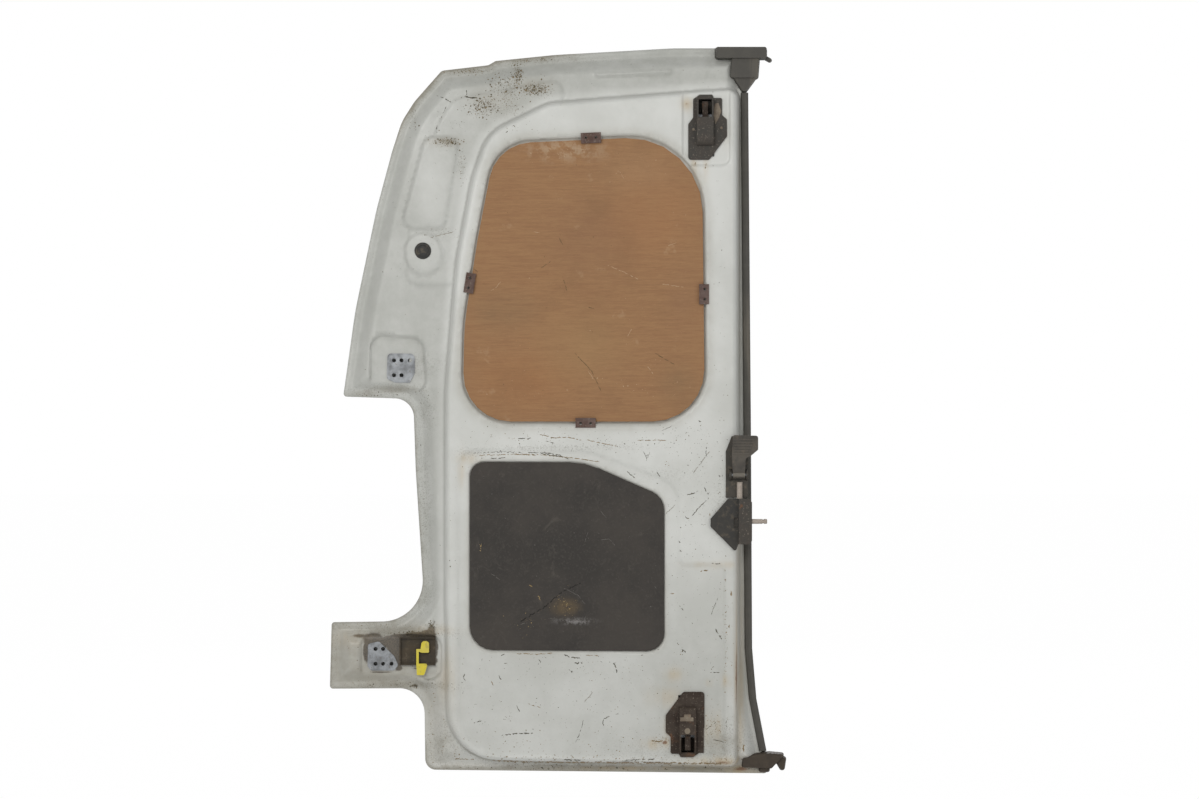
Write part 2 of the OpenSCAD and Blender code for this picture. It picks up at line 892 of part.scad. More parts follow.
// Channel that led the check strap into the door, from left to right along the hinge arm
channel_left = 29;
channel_right = 88;
channel_low = -15;
channel_high = 31;
channel_t = 2;
channel_rise = 7.5;

module check_strap_channel() {
    front = pocket_y - channel_rise;
    color([0.3, 0.24, 0.2])
        difference() {
            block([channel_left, front, channel_low], [channel_right, pocket_y, channel_high]);
            block([channel_left + channel_t, front - past, channel_low + channel_t],
                [channel_right + past, pocket_y - channel_t, channel_high - channel_t]);
        }
}

module check_strap_clip() {
    back = pocket_y - channel_rise;
    left = channel_left + 28;
    color([0.85, 0.8, 0.4])
        plate([
            [left, -15, 0.6], [left + 1, -31, 1], [left + 13, -31, 3], [left + 19, -12, 3], [left + 4, -12, 0.6],
            [left + 4, 8, 0.6], [left + 9, 6, 2], [left + 21, 6, 2], [left + 21, 25, 5], [left + 9, 25, 5],
            [left + 7, 12, 0.6], [left, 12, 0.6]
        ], back, back - 4);
}

outer_skin();
inner_panel();
upper_hinge_plate();
lower_hinge_plate();
blanking_plug();
plywood_board();
board_clip_top();
board_clip_right();
board_clip_bottom();
board_clip_left();
access_cover();
edge_seal();
seal_cap_top();
seal_cap_bottom();
upper_latch_plate();
upper_latch_housing();
upper_latch_claw();
upper_latch_pin();
lower_latch_plate();
lower_latch_housing();
lower_latch_claw();
lower_latch_pin();
lever_bracket();
lever_pin();
release_lever();
link_rod();
catch_cover();
catch_body();
striker_pin();
check_strap_channel();
check_strap_clip();
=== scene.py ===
"""Finishes and fine shapes of a van's rear door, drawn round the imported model.

Lengths of the pressed sheet are in millimetres until its mesh is made; everything else is in metres.
X runs from the hinge side to the meeting edge, Z is up, and -Y faces the load space.
"""
import json
import math
import random

import bpy
import numpy as np
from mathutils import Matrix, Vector
from mathutils.geometry import delaunay_2d_cdt


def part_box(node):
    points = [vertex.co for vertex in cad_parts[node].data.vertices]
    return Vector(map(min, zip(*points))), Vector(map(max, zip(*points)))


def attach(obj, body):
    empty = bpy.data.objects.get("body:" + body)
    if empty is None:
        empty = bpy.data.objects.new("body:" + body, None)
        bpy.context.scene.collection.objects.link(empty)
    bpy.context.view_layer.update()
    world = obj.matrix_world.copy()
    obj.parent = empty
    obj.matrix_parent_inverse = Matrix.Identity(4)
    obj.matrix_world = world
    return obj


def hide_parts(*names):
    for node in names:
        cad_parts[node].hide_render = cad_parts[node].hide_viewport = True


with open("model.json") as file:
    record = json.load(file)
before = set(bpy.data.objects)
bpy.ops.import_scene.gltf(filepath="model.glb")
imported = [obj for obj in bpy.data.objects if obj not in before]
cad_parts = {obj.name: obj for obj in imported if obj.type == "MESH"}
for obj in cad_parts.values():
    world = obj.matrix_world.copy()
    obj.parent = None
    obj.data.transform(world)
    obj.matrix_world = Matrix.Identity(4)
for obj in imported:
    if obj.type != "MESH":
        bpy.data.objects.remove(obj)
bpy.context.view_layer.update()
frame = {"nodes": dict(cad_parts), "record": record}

MM = 0.001
DOOR = "door"

# Camera and framing, from the photograph's frame of 1199 by 799 pixels
PHOTO_W, PHOTO_H = 1199, 799
MM_PER_PIXEL = 1.65
ORIGIN_PIXEL = (382, 656)
CAMERA_DISTANCE = 6.0
# The point of the door's plane that the camera looks at, in metres
AIM = (PHOTO_W / 2 - ORIGIN_PIXEL[0]) * MM_PER_PIXEL * MM, (ORIGIN_PIXEL[1] - PHOTO_H / 2) * MM_PER_PIXEL * MM


def make_camera():
    width = PHOTO_W * MM_PER_PIXEL * MM
    data = bpy.data.cameras.new("camera")
    data.sensor_width = 36
    data.lens = data.sensor_width * CAMERA_DISTANCE / width
    camera = bpy.data.objects.new("camera", data)
    camera.location = (AIM[0], -CAMERA_DISTANCE, AIM[1])
    camera.rotation_euler = (math.pi / 2, 0, 0)
    bpy.context.scene.collection.objects.link(camera)
    bpy.context.scene.camera = camera


# The door's sides, how far its foot flares, the arm and the notch on the hinge side, and the hem
panel_low, panel_high = (np.array(corner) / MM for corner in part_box("inner_panel"))
TOP = panel_high[2]
BOTTOM = panel_low[2]
MEET = 600.0
FLARE = 38.0
FOOT = 71.0
ARM_REACH = 87.0
ARM_TOP = 55.0
NOTCH = 61.0
NOTCH_TOP = 426.0
HEM_W = 14.0
# Depths of the panel's faces and of the skin; FAR stands for out of reach
HEM_Y = 13.0
LAND_Y = -6.0
CREST_Y = -34.0
RECESS_Y = -31.0
REBATE_Y = -24.0
COVER_FLOOR_Y = -26.0
POCKET_Y = 2.5
RECESS_RIGHT = 564.5
SKIN_BACK = HEM_Y + 2.9
CROWN = 11
FAR = 60.0

# Outlines of the pressing in millimetres, as corners (x, z, radius), counter-clockwise


def door_corners(meet_in=0.0):
    right = MEET - meet_in
    return [
        (FOOT, BOTTOM + 6, 18), (right + FLARE, BOTTOM, 6), (right + 0.37 * FLARE, BOTTOM + 124, 60),
        (right + 7, BOTTOM + 208, 150), (right + 5, 0.38 * TOP, 900), (right, TOP, 10), (480, TOP, 500),
        (285, TOP - 11, 500), (187, TOP - 21, 6), (175, TOP - 28, 6), (98, TOP - 37, 10), (53, TOP - 88, 90),
        (32, TOP - 121, 90), (16, TOP - 170, 200), (-10, TOP - 267, 500), (-45, TOP - 434, 600),
        (-65, NOTCH_TOP + 2, 5), (NOTCH - 10, NOTCH_TOP - 2, 32), (NOTCH - 6, NOTCH_TOP - 120, 400),
        (NOTCH + 10, ARM_TOP + 2, 68), (3 - ARM_REACH, ARM_TOP, 5), (-ARM_REACH, -ARM_TOP, 5),
        (FOOT - 2, 1 - ARM_TOP, 42),
    ]


def box_corners(lift=0.0):
    return [
        (FOOT + 36, BOTTOM + 25 + lift, 88), (587, BOTTOM + 13 + lift, 14), (587, TOP - 67, 16),
        (440, TOP - 78, 90), (275, TOP - 91, 70), (173, TOP - 140, 80), (147, TOP - 216, 200),
        (121, TOP - 354, 400), (NOTCH + 42.5, 440, 600), (NOTCH + 42.5, 90, 600),
    ]


def board_corners(lift=0.0):
    return [
        (134, 387, 78), (532, 387, 85), (527, 858 + lift, 122), (189, 843 + lift, 72), (159, 688, 500),
        (137, 547, 400),
    ]


COVER = [(145, 11, 40), (466, 9, 30), (466, 264, 34), (335, 321, 120), (145, 322, 25)]
RECESS = [
    (126, BOTTOM + 34, 78), (RECESS_RIGHT, BOTTOM + 26, 12), (RECESS_RIGHT, 152, 12), (489, 152, 14),
    (489, 284, 45), (344, 338, 120), (126, 340, 30),
]
UPPER_LAND = [
    (38, 610, 20), (140, 610, 20), (300, TOP - 96, 20), (300, TOP - 50, 20), (118, TOP - 83, 30),
    (92, TOP - 122, 60), (44, TOP - 270, 300),
]
UPPER_LATCH = (532.0, TOP - 134)
LOWER_LATCH = (503.5, BOTTOM + 85)
PLUG = (68.0, 668.0)


def rounded(corners, grow=0.0, step=2.5):
    """Points of a rounded outline with every side moved outward by grow, about step apart on arcs."""
    flat = np.array([c[:2] for c in corners], float)
    n = len(flat)
    moved = []
    for i in range(n):
        d1 = flat[i] - flat[i - 1]
        d2 = flat[(i + 1) % n] - flat[i]
        d1 /= np.linalg.norm(d1)
        d2 /= np.linalg.norm(d2)
        n1 = np.array([d1[1], -d1[0]])
        n2 = np.array([d2[1], -d2[0]])
        bend = 1 if d1[0] * d2[1] - d1[1] * d2[0] > 0 else -1
        point = flat[i] + grow * (n1 + n2) / (1 + n1 @ n2)
        moved.append((point, max(corners[i][2] + bend * grow, 0.6)))
    points = []
    for i in range(n):
        a, b, c = moved[i - 1][0], moved[i][0], moved[(i + 1) % n][0]
        r = moved[i][1]
        u = (a - b) / np.linalg.norm(a - b)
        v = (c - b) / np.linalg.norm(c - b)
        half = math.acos(max(-1, min(1, u @ v))) / 2
        centre = b + (u + v) / np.linalg.norm(u + v) * r / math.sin(half)
        start = b + u * r / math.tan(half) - centre
        end = b + v * r / math.tan(half) - centre
        turn = math.pi - 2 * half
        steps = max(3, math.ceil(r * turn / step))
        for k in range(steps + 1):
            f = k / steps
            arm = math.sin((1 - f) * turn) * start + math.sin(f * turn) * end
            points.append(centre + arm / math.sin(turn))
    return np.array(points)


def filled(points, step):
    """The same closed line with points at most step apart."""
    out = []
    for a, b in zip(points, np.roll(points, -1, axis=0)):
        length = np.linalg.norm(b - a)
        pieces = max(1, math.ceil(length / step))
        for k in range(pieces):
            if length > 0.05:
                out.append(a + (b - a) * k / pieces)
    return np.array(out)


def signed_distance(points, line):
    """Distance of each point to a closed line, negative inside."""
    best = np.full(len(points), 1e9)
    inside = np.zeros(len(points), bool)
    for a, b in zip(line, np.roll(line, -1, axis=0)):
        ab = b - a
        ap = points - a
        t = np.clip((ap @ ab) / max(ab @ ab, 1e-9), 0, 1)
        gap = ap - t[:, None] * ab
        best = np.minimum(best, np.einsum("ij,ij->i", gap, gap))
        crosses = (a[1] > points[:, 1]) != (b[1] > points[:, 1])
        if a[1] != b[1]:
            at = a[0] + (points[:, 1] - a[1]) / (b[1] - a[1]) * ab[0]
            inside ^= crosses & (points[:, 0] < at)
    best = np.sqrt(best)
    return np.where(inside, -best, best)


def pill(a, b, r):
    """Outline of a rounded bar between two points."""
    a, b = np.array(a, float), np.array(b, float)
    along = (b - a) / np.linalg.norm(b - a)
    base = math.atan2(along[1], along[0])
    points = []
    for centre, first in ((b, -90), (a, 90)):
        for k in range(13):
            angle = base + math.radians(first + 15 * k)
            points.append(centre + r * np.array([math.cos(angle), math.sin(angle)]))
    return np.array(points)


class Form:
    """One pressed form: closed lines at any offset, and depths at distances from the line of offset 0."""

    def __init__(self, line_at, profile, soft=1.5):
        self.line_at = line_at
        self.line = line_at(0.0)
        self.xs = [k[0] for k in profile]
        self.ys = [k[1] for k in profile]
        self.soft = soft

    def depth(self, points):
        out = np.full(len(points), float(self.ys[-1]))
        reach = self.xs[-1] + self.soft
        low, high = self.line.min(0) - reach, self.line.max(0) + reach
        near = np.all((points > low) & (points < high), axis=1)
        d = signed_distance(points[near], self.line)
        taps = np.linspace(-self.soft, self.soft, 5)
        out[near] = np.mean([np.interp(d + tap, self.xs, self.ys) for tap in taps], axis=0)
        return out

    def rings(self, step=3.0):
        return [filled(self.line_at(x), step) for x, y in zip(self.xs, self.ys) if abs(y) < FAR]


def offsets(corners, base=0.0):
    return lambda grow: rounded(corners, base + grow)


def box_line(grow):
    """Outline of the raised box; its bottom wall leans in further towards the crest."""
    return rounded(box_corners(14 * min(max(-grow / 8.5, 0), 1)), grow)


def bar(a, b, r):
    return lambda grow: pill(a, b, r + grow)


def dish(points, r, floor, top, lean=3.0, away=-1):
    """A form round the corners of a convex outline: sunk with away -1, raised with away 1."""
    corners = [(x, z, 0.6) for x, z in points]
    return Form(offsets(corners, r), [(0, floor), (lean, top), (lean + 2, away * FAR)], 1.2)


door_line = rounded(door_corners())

# Profiles are pairs of a distance from the outline, negative inside, and a depth
RAISED = [
    Form(box_line, [(-8.5, CREST_Y), (-5, CREST_Y + 3), (-3, CREST_Y + 10), (0, LAND_Y), (4, HEM_Y), (9, FAR)]),
    Form(offsets(UPPER_LAND), [(-5, LAND_Y - 3), (0, LAND_Y + 0.5), (8, FAR)], 2.5),
    dish([(54, 722), (88, 722), (107, 838), (85, 838)], 15, LAND_Y - 7, LAND_Y - 3, 5.0, 1),
    Form(bar((575, BOTTOM + 34), (575, BOTTOM + 24), 8), [(-2, CREST_Y + 9), (6, HEM_Y), (9, FAR)]),
    Form(bar(PLUG, (PLUG[0] + 2, PLUG[1] - 10), 32), [(-4, LAND_Y - 7), (0, LAND_Y), (5, FAR)]),
    Form(bar((356, TOP - 46), (474, TOP - 40), 5), [(-3, LAND_Y - 3), (0, LAND_Y), (3, FAR)], 1),
]
SUNK = [
    Form(offsets(board_corners(1.0), 3.0), [(0, REBATE_Y), (2, CREST_Y), (3, -FAR)], 0.7),
    Form(offsets(RECESS), [(-3, RECESS_Y), (1.5, CREST_Y), (3, -FAR)], 1.0),
    Form(offsets(COVER), [(0, COVER_FLOOR_Y), (1.5, RECESS_Y), (3, -FAR)], 0.6),
]
SUNK += [
    dish([(2, NOTCH_TOP + 30), (52, NOTCH_TOP + 30), (48, NOTCH_TOP + 78), (2, NOTCH_TOP + 82)],
         20, POCKET_Y, LAND_Y),
    dish([(-14, -18), (78, -18), (78, 14), (-14, 16)], 20, POCKET_Y, LAND_Y),
]
for (lx, lz), side in ((UPPER_LATCH, 1), (LOWER_LATCH, -1)):
    spots = [(lx + side * x, lz + side * z) for x, z in ((-24, -50), (28, -50), (28, 70), (-24, 70))]
    SUNK.append(dish(spots, 12, RECESS_Y, CREST_Y, 2.0))


def rectangle(x, z, half_x, half_z):
    return np.array([(x - half_x, z - half_z), (x + half_x, z - half_z), (x + half_x, z + half_z),
                     (x - half_x, z + half_z)], float)


HOLES = [rounded(board_corners(), -14.0), rounded(COVER, -12.0), pill(PLUG, (PLUG[0] + 0.1, PLUG[1]), 10.2)]
HOLES += [rectangle(lx, lz, 15.5, 48) for lx, lz in (UPPER_LATCH, LOWER_LATCH)]
HOLES += [np.array([(-18, -18), (21, -18), (21, -9), (4, 17), (-18, 17)], float), rectangle(29, 475, 16, 17)]


def lower_of(a, b, blend):
    """The smaller of two depths, with a fillet where they meet."""
    h = np.maximum(blend - np.abs(a - b), 0) / blend
    return np.minimum(a, b) - h * h * blend / 4


def panel_depth(points):
    """Depth of the inner panel's face over the door."""
    d = signed_distance(points, door_line)
    taps = np.linspace(-2.5, 2.5, 5)
    steps = ([-34, -31, -14, 0], [LAND_Y, LAND_Y + 1.2, HEM_Y - 0.2, HEM_Y - 0.2])
    y = np.mean([np.interp(d + tap, *steps) for tap in taps], axis=0)
    for form in RAISED:
        y = lower_of(y, form.depth(points), 5.0)
    for form in SUNK:
        y = -lower_of(-y, -form.depth(points), 1.0)
    # The skin's edge is folded round onto the hem
    fold = np.interp(d, [-11, -8.5, -1.8, 0], [0, 1.0, 1.0, -0.8])
    return y - fold


def skin_depth(points):
    """Depth of the outer skin's outside face."""
    d = signed_distance(points, rounded(door_corners(HEM_W)))
    taps = np.linspace(-5, 5, 7)
    xs, ys = [-42, -24, -11, -4, -1.5, 0], [CROWN, 9.5, 6.5, 3, 0.8, 0]
    crown = np.mean([np.interp(d + tap, xs, ys) for tap in taps], axis=0)
    rim = np.interp(signed_distance(points, door_line), [-1.5, 0], [0, 2.4])
    y = SKIN_BACK + crown - rim
    for form in SKIN_FORMS:
        y = np.minimum(y, form.depth(points))
    return y


SKIN_Y = SKIN_BACK + CROWN
BLANKED_WINDOW = [(210, 450, 0.6), (480, 450, 0.6), (480, 790, 0.6), (240, 790, 0.6)]
SKIN_FORMS = [
    *(Form(offsets(BLANKED_WINDOW, grow), [(0, SKIN_Y - low), (3, SKIN_Y - high), (9, FAR)], 2.5)
      for grow, low, high in ((61, 1.5, 0), (53, 3, 1.5))),
    *(Form(bar((170, z), (520, z), 6), [(0, SKIN_Y - 2), (3, SKIN_Y), (6, FAR)], 2.5) for z in (330, -60)),
]

# Spacing of a sheet's points, and of those where it bends by more than BEND
SPREAD = 6.0
FINE = SPREAD / 2
BEND = 0.12


def lattice(outer, spread):
    low, high = outer.min(0), outer.max(0)
    rows, columns = int((high[1] - low[1]) / spread) + 1, int((high[0] - low[0]) / spread) + 1
    jj, ii = np.mgrid[0:rows, 0:columns]
    x = low[0] + (ii + 0.5 * (jj % 2)) * spread
    z = low[1] + jj * spread
    grid = np.column_stack([x.ravel(), z.ravel()])
    return grid[signed_distance(grid, outer) < -spread / 3]


def sheet_mesh(name, rings, depth, holes, back=False):
    """A surface over the door's outline that has every ring as edges, with a depth for each point."""
    points, edges = [], []
    for ring in rings:
        first = len(points)
        points += list(ring)
        edges += [(first + k, first + (k + 1) % len(ring)) for k in range(len(ring))]
    outer = rings[0]
    coarse = lattice(outer, SPREAD)
    fine = lattice(outer, FINE)
    y = depth(fine)
    bend = np.zeros(len(fine))
    for shift in ((FINE, 0), (0, FINE)):
        bend = np.maximum(bend, abs(depth(fine + shift) + depth(fine - shift) - 2 * y))
    grid = np.vstack([coarse, fine[bend > BEND]])
    cells = {}
    chosen = []
    for k, p in enumerate(list(points) + list(grid)):
        size = FINE * 0.75
        cx, cz = int(p[0] // size), int(p[1] // size)
        if k >= len(points):
            close = any(
                (q[0] - p[0]) ** 2 + (q[1] - p[1]) ** 2 < (size * 0.85) ** 2
                for ix in (cx - 1, cx, cx + 1) for iz in (cz - 1, cz, cz + 1) for q in cells.get((ix, iz), ()))
            if close:
                continue
            chosen.append(p)
        cells.setdefault((cx, cz), []).append(p)
    everything = [Vector(p) for p in points + chosen]
    verts, _, faces, *_ = delaunay_2d_cdt(everything, edges, [], 0, 0.01)
    flat = np.array([tuple(v) for v in verts])
    faces = np.array([f for f in faces if len(f) == 3])
    centres = flat[faces].mean(1)
    wanted = signed_distance(centres, outer) < 0
    for hole in holes:
        wanted &= signed_distance(centres, hole) > 0
    faces = faces[wanted]
    used, faces = np.unique(faces, return_inverse=True)
    flat, faces = flat[used], faces.reshape(-1, 3)
    a, b, c = (flat[faces[:, k]] for k in range(3))
    area = (b[:, 0] - a[:, 0]) * (c[:, 1] - a[:, 1]) - (b[:, 1] - a[:, 1]) * (c[:, 0] - a[:, 0])
    # Counter-clockwise in X and Z faces -Y
    wrong = (area < 0) != back
    faces[wrong] = faces[wrong][:, ::-1]
    return new_object(name, in_space(flat, depth(flat)), faces.tolist(), smooth=True), flat


def in_space(flat, depth):
    """Points of the door's plane with their depths, in metres."""
    return (np.column_stack([flat[:, 0], depth, flat[:, 1]]) * MM).tolist()


def new_object(name, verts, faces, smooth=False):
    mesh = bpy.data.meshes.new(name)
    mesh.from_pydata(verts, [], faces)
    mesh.update()
    if smooth:
        mesh.shade_smooth()
    obj = bpy.data.objects.new(name, mesh)
    bpy.context.scene.collection.objects.link(obj)
    return obj


def paint_masks(obj, **masks):
    """Stores numbers from 0 to 1, one per vertex, for a material to read."""
    for name, values in masks.items():
        layer = obj.data.attributes.new(name, "FLOAT", "POINT")
        layer.data.foreach_set("value", np.clip(values, 0, 1).astype(np.float32))


# Materials


def shade(r, g, b):
    """Linear colour from a colour of 0 to 255."""
    def linear(v):
        v /= 255
        return v / 12.92 if v <= 0.04045 else ((v + 0.055) / 1.055) ** 2.4
    return (linear(r), linear(g), linear(b), 1.0)


class Nodes:
    """Short calls that add nodes to a tree."""

    def __init__(self, tree):
        self.tree = tree

    def node(self, kind, inputs=(), **settings):
        made = self.tree.nodes.new(kind)
        for key, value in settings.items():
            setattr(made, key, value)
        for key, value in dict(inputs).items():
            if isinstance(value, bpy.types.NodeSocket):
                self.tree.links.new(value, made.inputs[key])
            else:
                made.inputs[key].default_value = value
        return made

    def math(self, operation, a, b=0.0):
        return self.node("ShaderNodeMath", {0: a, 1: b}, operation=operation, use_clamp=True).outputs[0]

    def times(self, a, b):
        return self.math("MULTIPLY", a, b)

    def white_to_camera(self, kind, share, shader, output):
        """Gives the camera, reflections and glass a white in the place of the shader."""
        path = self.node("ShaderNodeLightPath").outputs
        indirect = self.math("MAXIMUM", path["Is Glossy Ray"], path["Is Transmission Ray"])
        rays = self.times(self.math("MAXIMUM", path["Is Camera Ray"], indirect), share)
        white = self.node(kind, {"Color": (1, 1, 1, 1), "Strength": 1.0}).outputs[0]
        both = self.node("ShaderNodeMixShader", {0: rays, 1: shader, 2: white}).outputs[0]
        self.tree.links.new(both, self.tree.nodes[output].inputs["Surface"])


class Finish(Nodes):
    """A material with patterns in the door's own space."""

    def __init__(self, name):
        self.material = bpy.data.materials.new(name)
        self.material.use_nodes = True
        super().__init__(self.material.node_tree)
        self.shader = self.tree.nodes["Principled BSDF"]
        self.place = self.tree.nodes.new("ShaderNodeTexCoord").outputs["Object"]

    def spot(self, stretch=(1, 1, 1), turn=0.0, shift=0.0):
        """The object's place, stretched and turned in the door's plane."""
        return self.node("ShaderNodeMapping", {
            "Vector": self.place, "Scale": stretch, "Rotation": (0, turn, 0), "Location": (shift, 0, shift)
        }).outputs[0]

    def noise(self, scale, detail=4, rough=0.6, stretch=(1, 1, 1), turn=0.0, shift=0.0, twist=0.0):
        return self.node("ShaderNodeTexNoise", {
            "Vector": self.spot(stretch, turn, shift), "Scale": scale, "Detail": detail, "Roughness": rough,
            "Distortion": twist,
        }).outputs[0]

    def range(self, value, low, high, a=0.0, b=1.0):
        return self.node("ShaderNodeMapRange", {
            "Value": value, "From Min": low, "From Max": high, "To Min": a, "To Max": b
        }, interpolation_type="SMOOTHSTEP").outputs[0]

    def mix(self, amount, a, b):
        return self.node("ShaderNodeMix", {0: amount, 6: a, 7: b}, data_type="RGBA").outputs[2]

    def between(self, amount, a, b):
        """From one tone of 0 to 255 to another."""
        return self.mix(amount, shade(*a), shade(*b))

    def tint(self, tone, amount, share=None):
        """Lays a tone, or a socket's colour, over the colour so far."""
        if share is not None:
            amount = self.times(amount, share)
        if not isinstance(tone, bpy.types.NodeSocket):
            tone = shade(*tone)
        self.colour = self.mix(amount, self.colour, tone)

    def blend(self, amount, a, b):
        return self.node("ShaderNodeMix", {0: amount, 2: a, 3: b}, data_type="FLOAT").outputs[0]

    def patch(self, centre, radii):
        """1 at a point of the door's plane, falling to 0 at the radii."""
        place = self.node("ShaderNodeMapping", {
            "Vector": self.place, "Scale": (1 / radii[0], 0, 1 / radii[1]),
            "Location": (-centre[0] / radii[0], 0, -centre[1] / radii[1])
        }).outputs[0]
        length = self.node("ShaderNodeVectorMath", {0: place}, operation="LENGTH").outputs["Value"]
        return self.range(length, 0.0, 1.0, 1.0, 0.0)

    def mask(self, name):
        return self.node("ShaderNodeAttribute", attribute_name=name).outputs["Fac"]

    def done(self, rough, metal=0.0, bump=None, strength=0.3, distance=0.0005, **more):
        values = {"Base Color": self.colour, "Roughness": rough, "Metallic": metal, **more}
        for key, value in values.items():
            if isinstance(value, bpy.types.NodeSocket):
                self.tree.links.new(value, self.shader.inputs[key])
            else:
                self.shader.inputs[key].default_value = value
        if bump is not None:
            normal = self.node("ShaderNodeBump", {"Height": bump, "Strength": strength, "Distance": distance})
            self.tree.links.new(normal.outputs[0], self.shader.inputs["Normal"])
        return self.material


def body_paint(name):
    f = Finish(name)
    grime, rust, dust, soil, seam, mud = map(f.mask, ("grime", "rust", "dust", "soil", "seam", "mud"))
    broad = f.noise(6, 6, 0.65)
    small = f.noise(55, 5, 0.7)
    tiny = f.noise(420, 3, 0.6)

    def broken_up(mask, share, low, high):
        """A mask that small noise eats into along its edges."""
        return f.range(f.math("ADD", mask, f.math("SUBTRACT", f.times(small, share), share / 2)), low, high)

    f.colour = f.between(f.range(broad, 0.35, 0.68), (203, 204, 200), (190, 191, 186))
    cloud = f.range(f.math("ADD", f.times(small, 0.5), f.times(broad, 0.5)), 0.38, 0.62)
    # Dust, with painted shade on the faces that lie lower than the raised box
    f.tint((160, 161, 155), f.times(dust, f.blend(cloud, 0.7, 1.0)))
    # Brown soil, with painted shade along the top edge
    f.tint((136, 128, 110), f.times(soil, f.blend(cloud, 0.6, 1.0)))
    # Grime, and the painted shade along the door's upper edges, end in specks
    broken = broken_up(grime, 1.1, 0.36, 0.85)
    specks = f.times(f.range(tiny, 0.53, 0.6), f.range(grime, 0.05, 0.5))
    f.tint(f.between(f.range(tiny, 0.35, 0.6), (104, 100, 88), (150, 146, 134)), broken, 0.55)
    f.tint((104, 100, 90), specks, 0.4)
    thick = broken_up(mud, 0.9, 0.38, 0.7)
    f.tint(f.between(f.range(tiny, 0.35, 0.62), (50, 43, 34), (84, 74, 59)), thick, 0.92)
    # Painted shade: a grey line in the crease along the foot of the raised box
    f.tint((120, 119, 112), seam, 0.32)
    # Rust bleeds down from what carries it
    streak = f.noise(60, 4, 0.6, (1, 1, 0.12))
    bleed = f.times(rust, f.range(streak, 0.35, 0.65, 0.35, 1))
    f.tint((176, 152, 108), bleed, 0.7)
    f.tint((112, 78, 52), broken_up(rust, 0.8, 0.7, 0.9), 0.9)
    rough = f.blend(broken, f.range(broad, 0.3, 0.7, 0.36, 0.5), 0.82)
    return f.done(rough, 0.0, small, 0.16, 0.0006)


# A dusty surface reflects less of the room
DULL = {"Specular IOR Level": 0.22}


def chipped(name, *tones):
    """Marks whose tone goes through three pairs of colours as the mask goes from 0 over 0.5 to 1."""
    f = Finish(name)
    fine = f.noise(300, 4, 0.7)
    tone = f.mask("tone")
    dark, middle, pale = (f.between(f.range(fine, 0.4, 0.62), a, b) for a, b in tones)
    f.colour = f.mix(f.range(tone, 0.0, 0.5), dark, middle)
    f.tint(pale, f.range(tone, 0.6, 1.0))
    return f.done(0.8, 0.0, fine, 0.3, 0.0003, **DULL)


# Broad patches that the wood has darkened, bleached or reddened in: centre, radii, tone and share
BOARD_PATCHES = [
    ((0.202, 0.570), (0.075, 0.055), (112, 96, 72), 0.55),
    ((0.485, 0.445), (0.05, 0.065), (112, 94, 70), 0.5),
    ((0.347, 0.691), (0.13, 0.10), (132, 98, 72), 0.5),
    ((0.443, 0.717), (0.12, 0.12), (160, 112, 74), 0.35),
    ((0.234, 0.454), (0.13, 0.08), (158, 110, 70), 0.4),
    ((0.330, 0.508), (0.12, 0.09), (158, 128, 88), 0.4),
    ((0.420, 0.797), (0.11, 0.06), (160, 126, 92), 0.4),
    ((0.500, 0.590), (0.05, 0.10), (134, 100, 74), 0.5),
]


def plywood(name):
    f = Finish(name)
    grain = f.noise(14, 8, 0.75, (1.6, 1, 24), 0.01, 2, 0.5)
    pores = f.noise(110, 3, 0.65, (1, 1, 16), 0.01, 4)
    blotch = f.noise(7, 6, 0.65, shift=7)
    f.colour = f.between(f.range(grain, 0.35, 0.68), (150, 114, 79), (138, 102, 71))
    for centre, radii, tone, share in BOARD_PATCHES:
        patch = f.times(f.patch(centre, radii), f.range(blotch, 0.3, 0.62, 0.3, 1.0))
        f.tint(tone, patch, share)
    f.tint((122, 92, 64), f.range(blotch, 0.5, 0.7), 0.35)
    f.tint((112, 84, 58), f.range(pores, 0.56, 0.7), 0.35)
    f.tint((170, 134, 96), f.range(pores, 0.42, 0.3), 0.3)
    worn = f.times(f.patch((0.302, 0.833), (0.11, 0.03)), f.range(f.noise(60, 5, 0.7, shift=3), 0.45, 0.62))
    f.tint((178, 158, 132), worn, 0.55)
    stain = f.range(f.noise(26, 5, 0.65, shift=23), 0.64, 0.72)
    f.tint((176, 148, 116), stain, 0.25)
    return f.done(0.62, 0.0, f.math("ADD", f.times(grain, 0.5), f.times(pores, 0.3)), 0.25, 0.0005, **DULL)


def cover_black(name):
    f = Finish(name)
    cloud = f.noise(8, 7, 0.65)
    fine = f.noise(260, 3, 0.6)
    f.colour = f.between(f.range(cloud, 0.35, 0.65), (50, 47, 44), (66, 62, 58))
    f.tint((76, 72, 67), f.range(fine, 0.5, 0.7), 0.3)
    smear = f.range(f.noise(24, 6, 0.75, shift=5, twist=1.2), 0.56, 0.7)
    f.tint((92, 87, 80), smear, 0.3)
    stain = f.times(f.patch((0.303, 0.082), (0.036, 0.022)), f.range(f.noise(70, 4, 0.7), 0.3, 0.55))
    f.tint((98, 83, 60), stain, 0.75)
    chalk = f.times(f.patch((0.318, 0.059), (0.05, 0.009)), f.range(f.noise(150, 4, 0.75), 0.42, 0.6))
    f.tint((136, 133, 132), chalk, 0.7)
    return f.done(f.range(cloud, 0.3, 0.7, 0.55, 0.78), 0.0, fine, 0.3, 0.0004, **DULL)


def rubber(name, base, worn):
    f = Finish(name)
    cloud = f.noise(30, 5, 0.65)
    along = f.noise(45, 4, 0.6, (1, 1, 0.1))
    f.colour = f.between(f.range(cloud, 0.35, 0.7), base, worn)
    f.tint((110, 104, 94), f.range(along, 0.55, 0.7), 0.5)
    return f.done(f.range(cloud, 0.3, 0.7, 0.6, 0.85), 0.0, f.noise(300, 3), 0.25, 0.0004, **DULL)


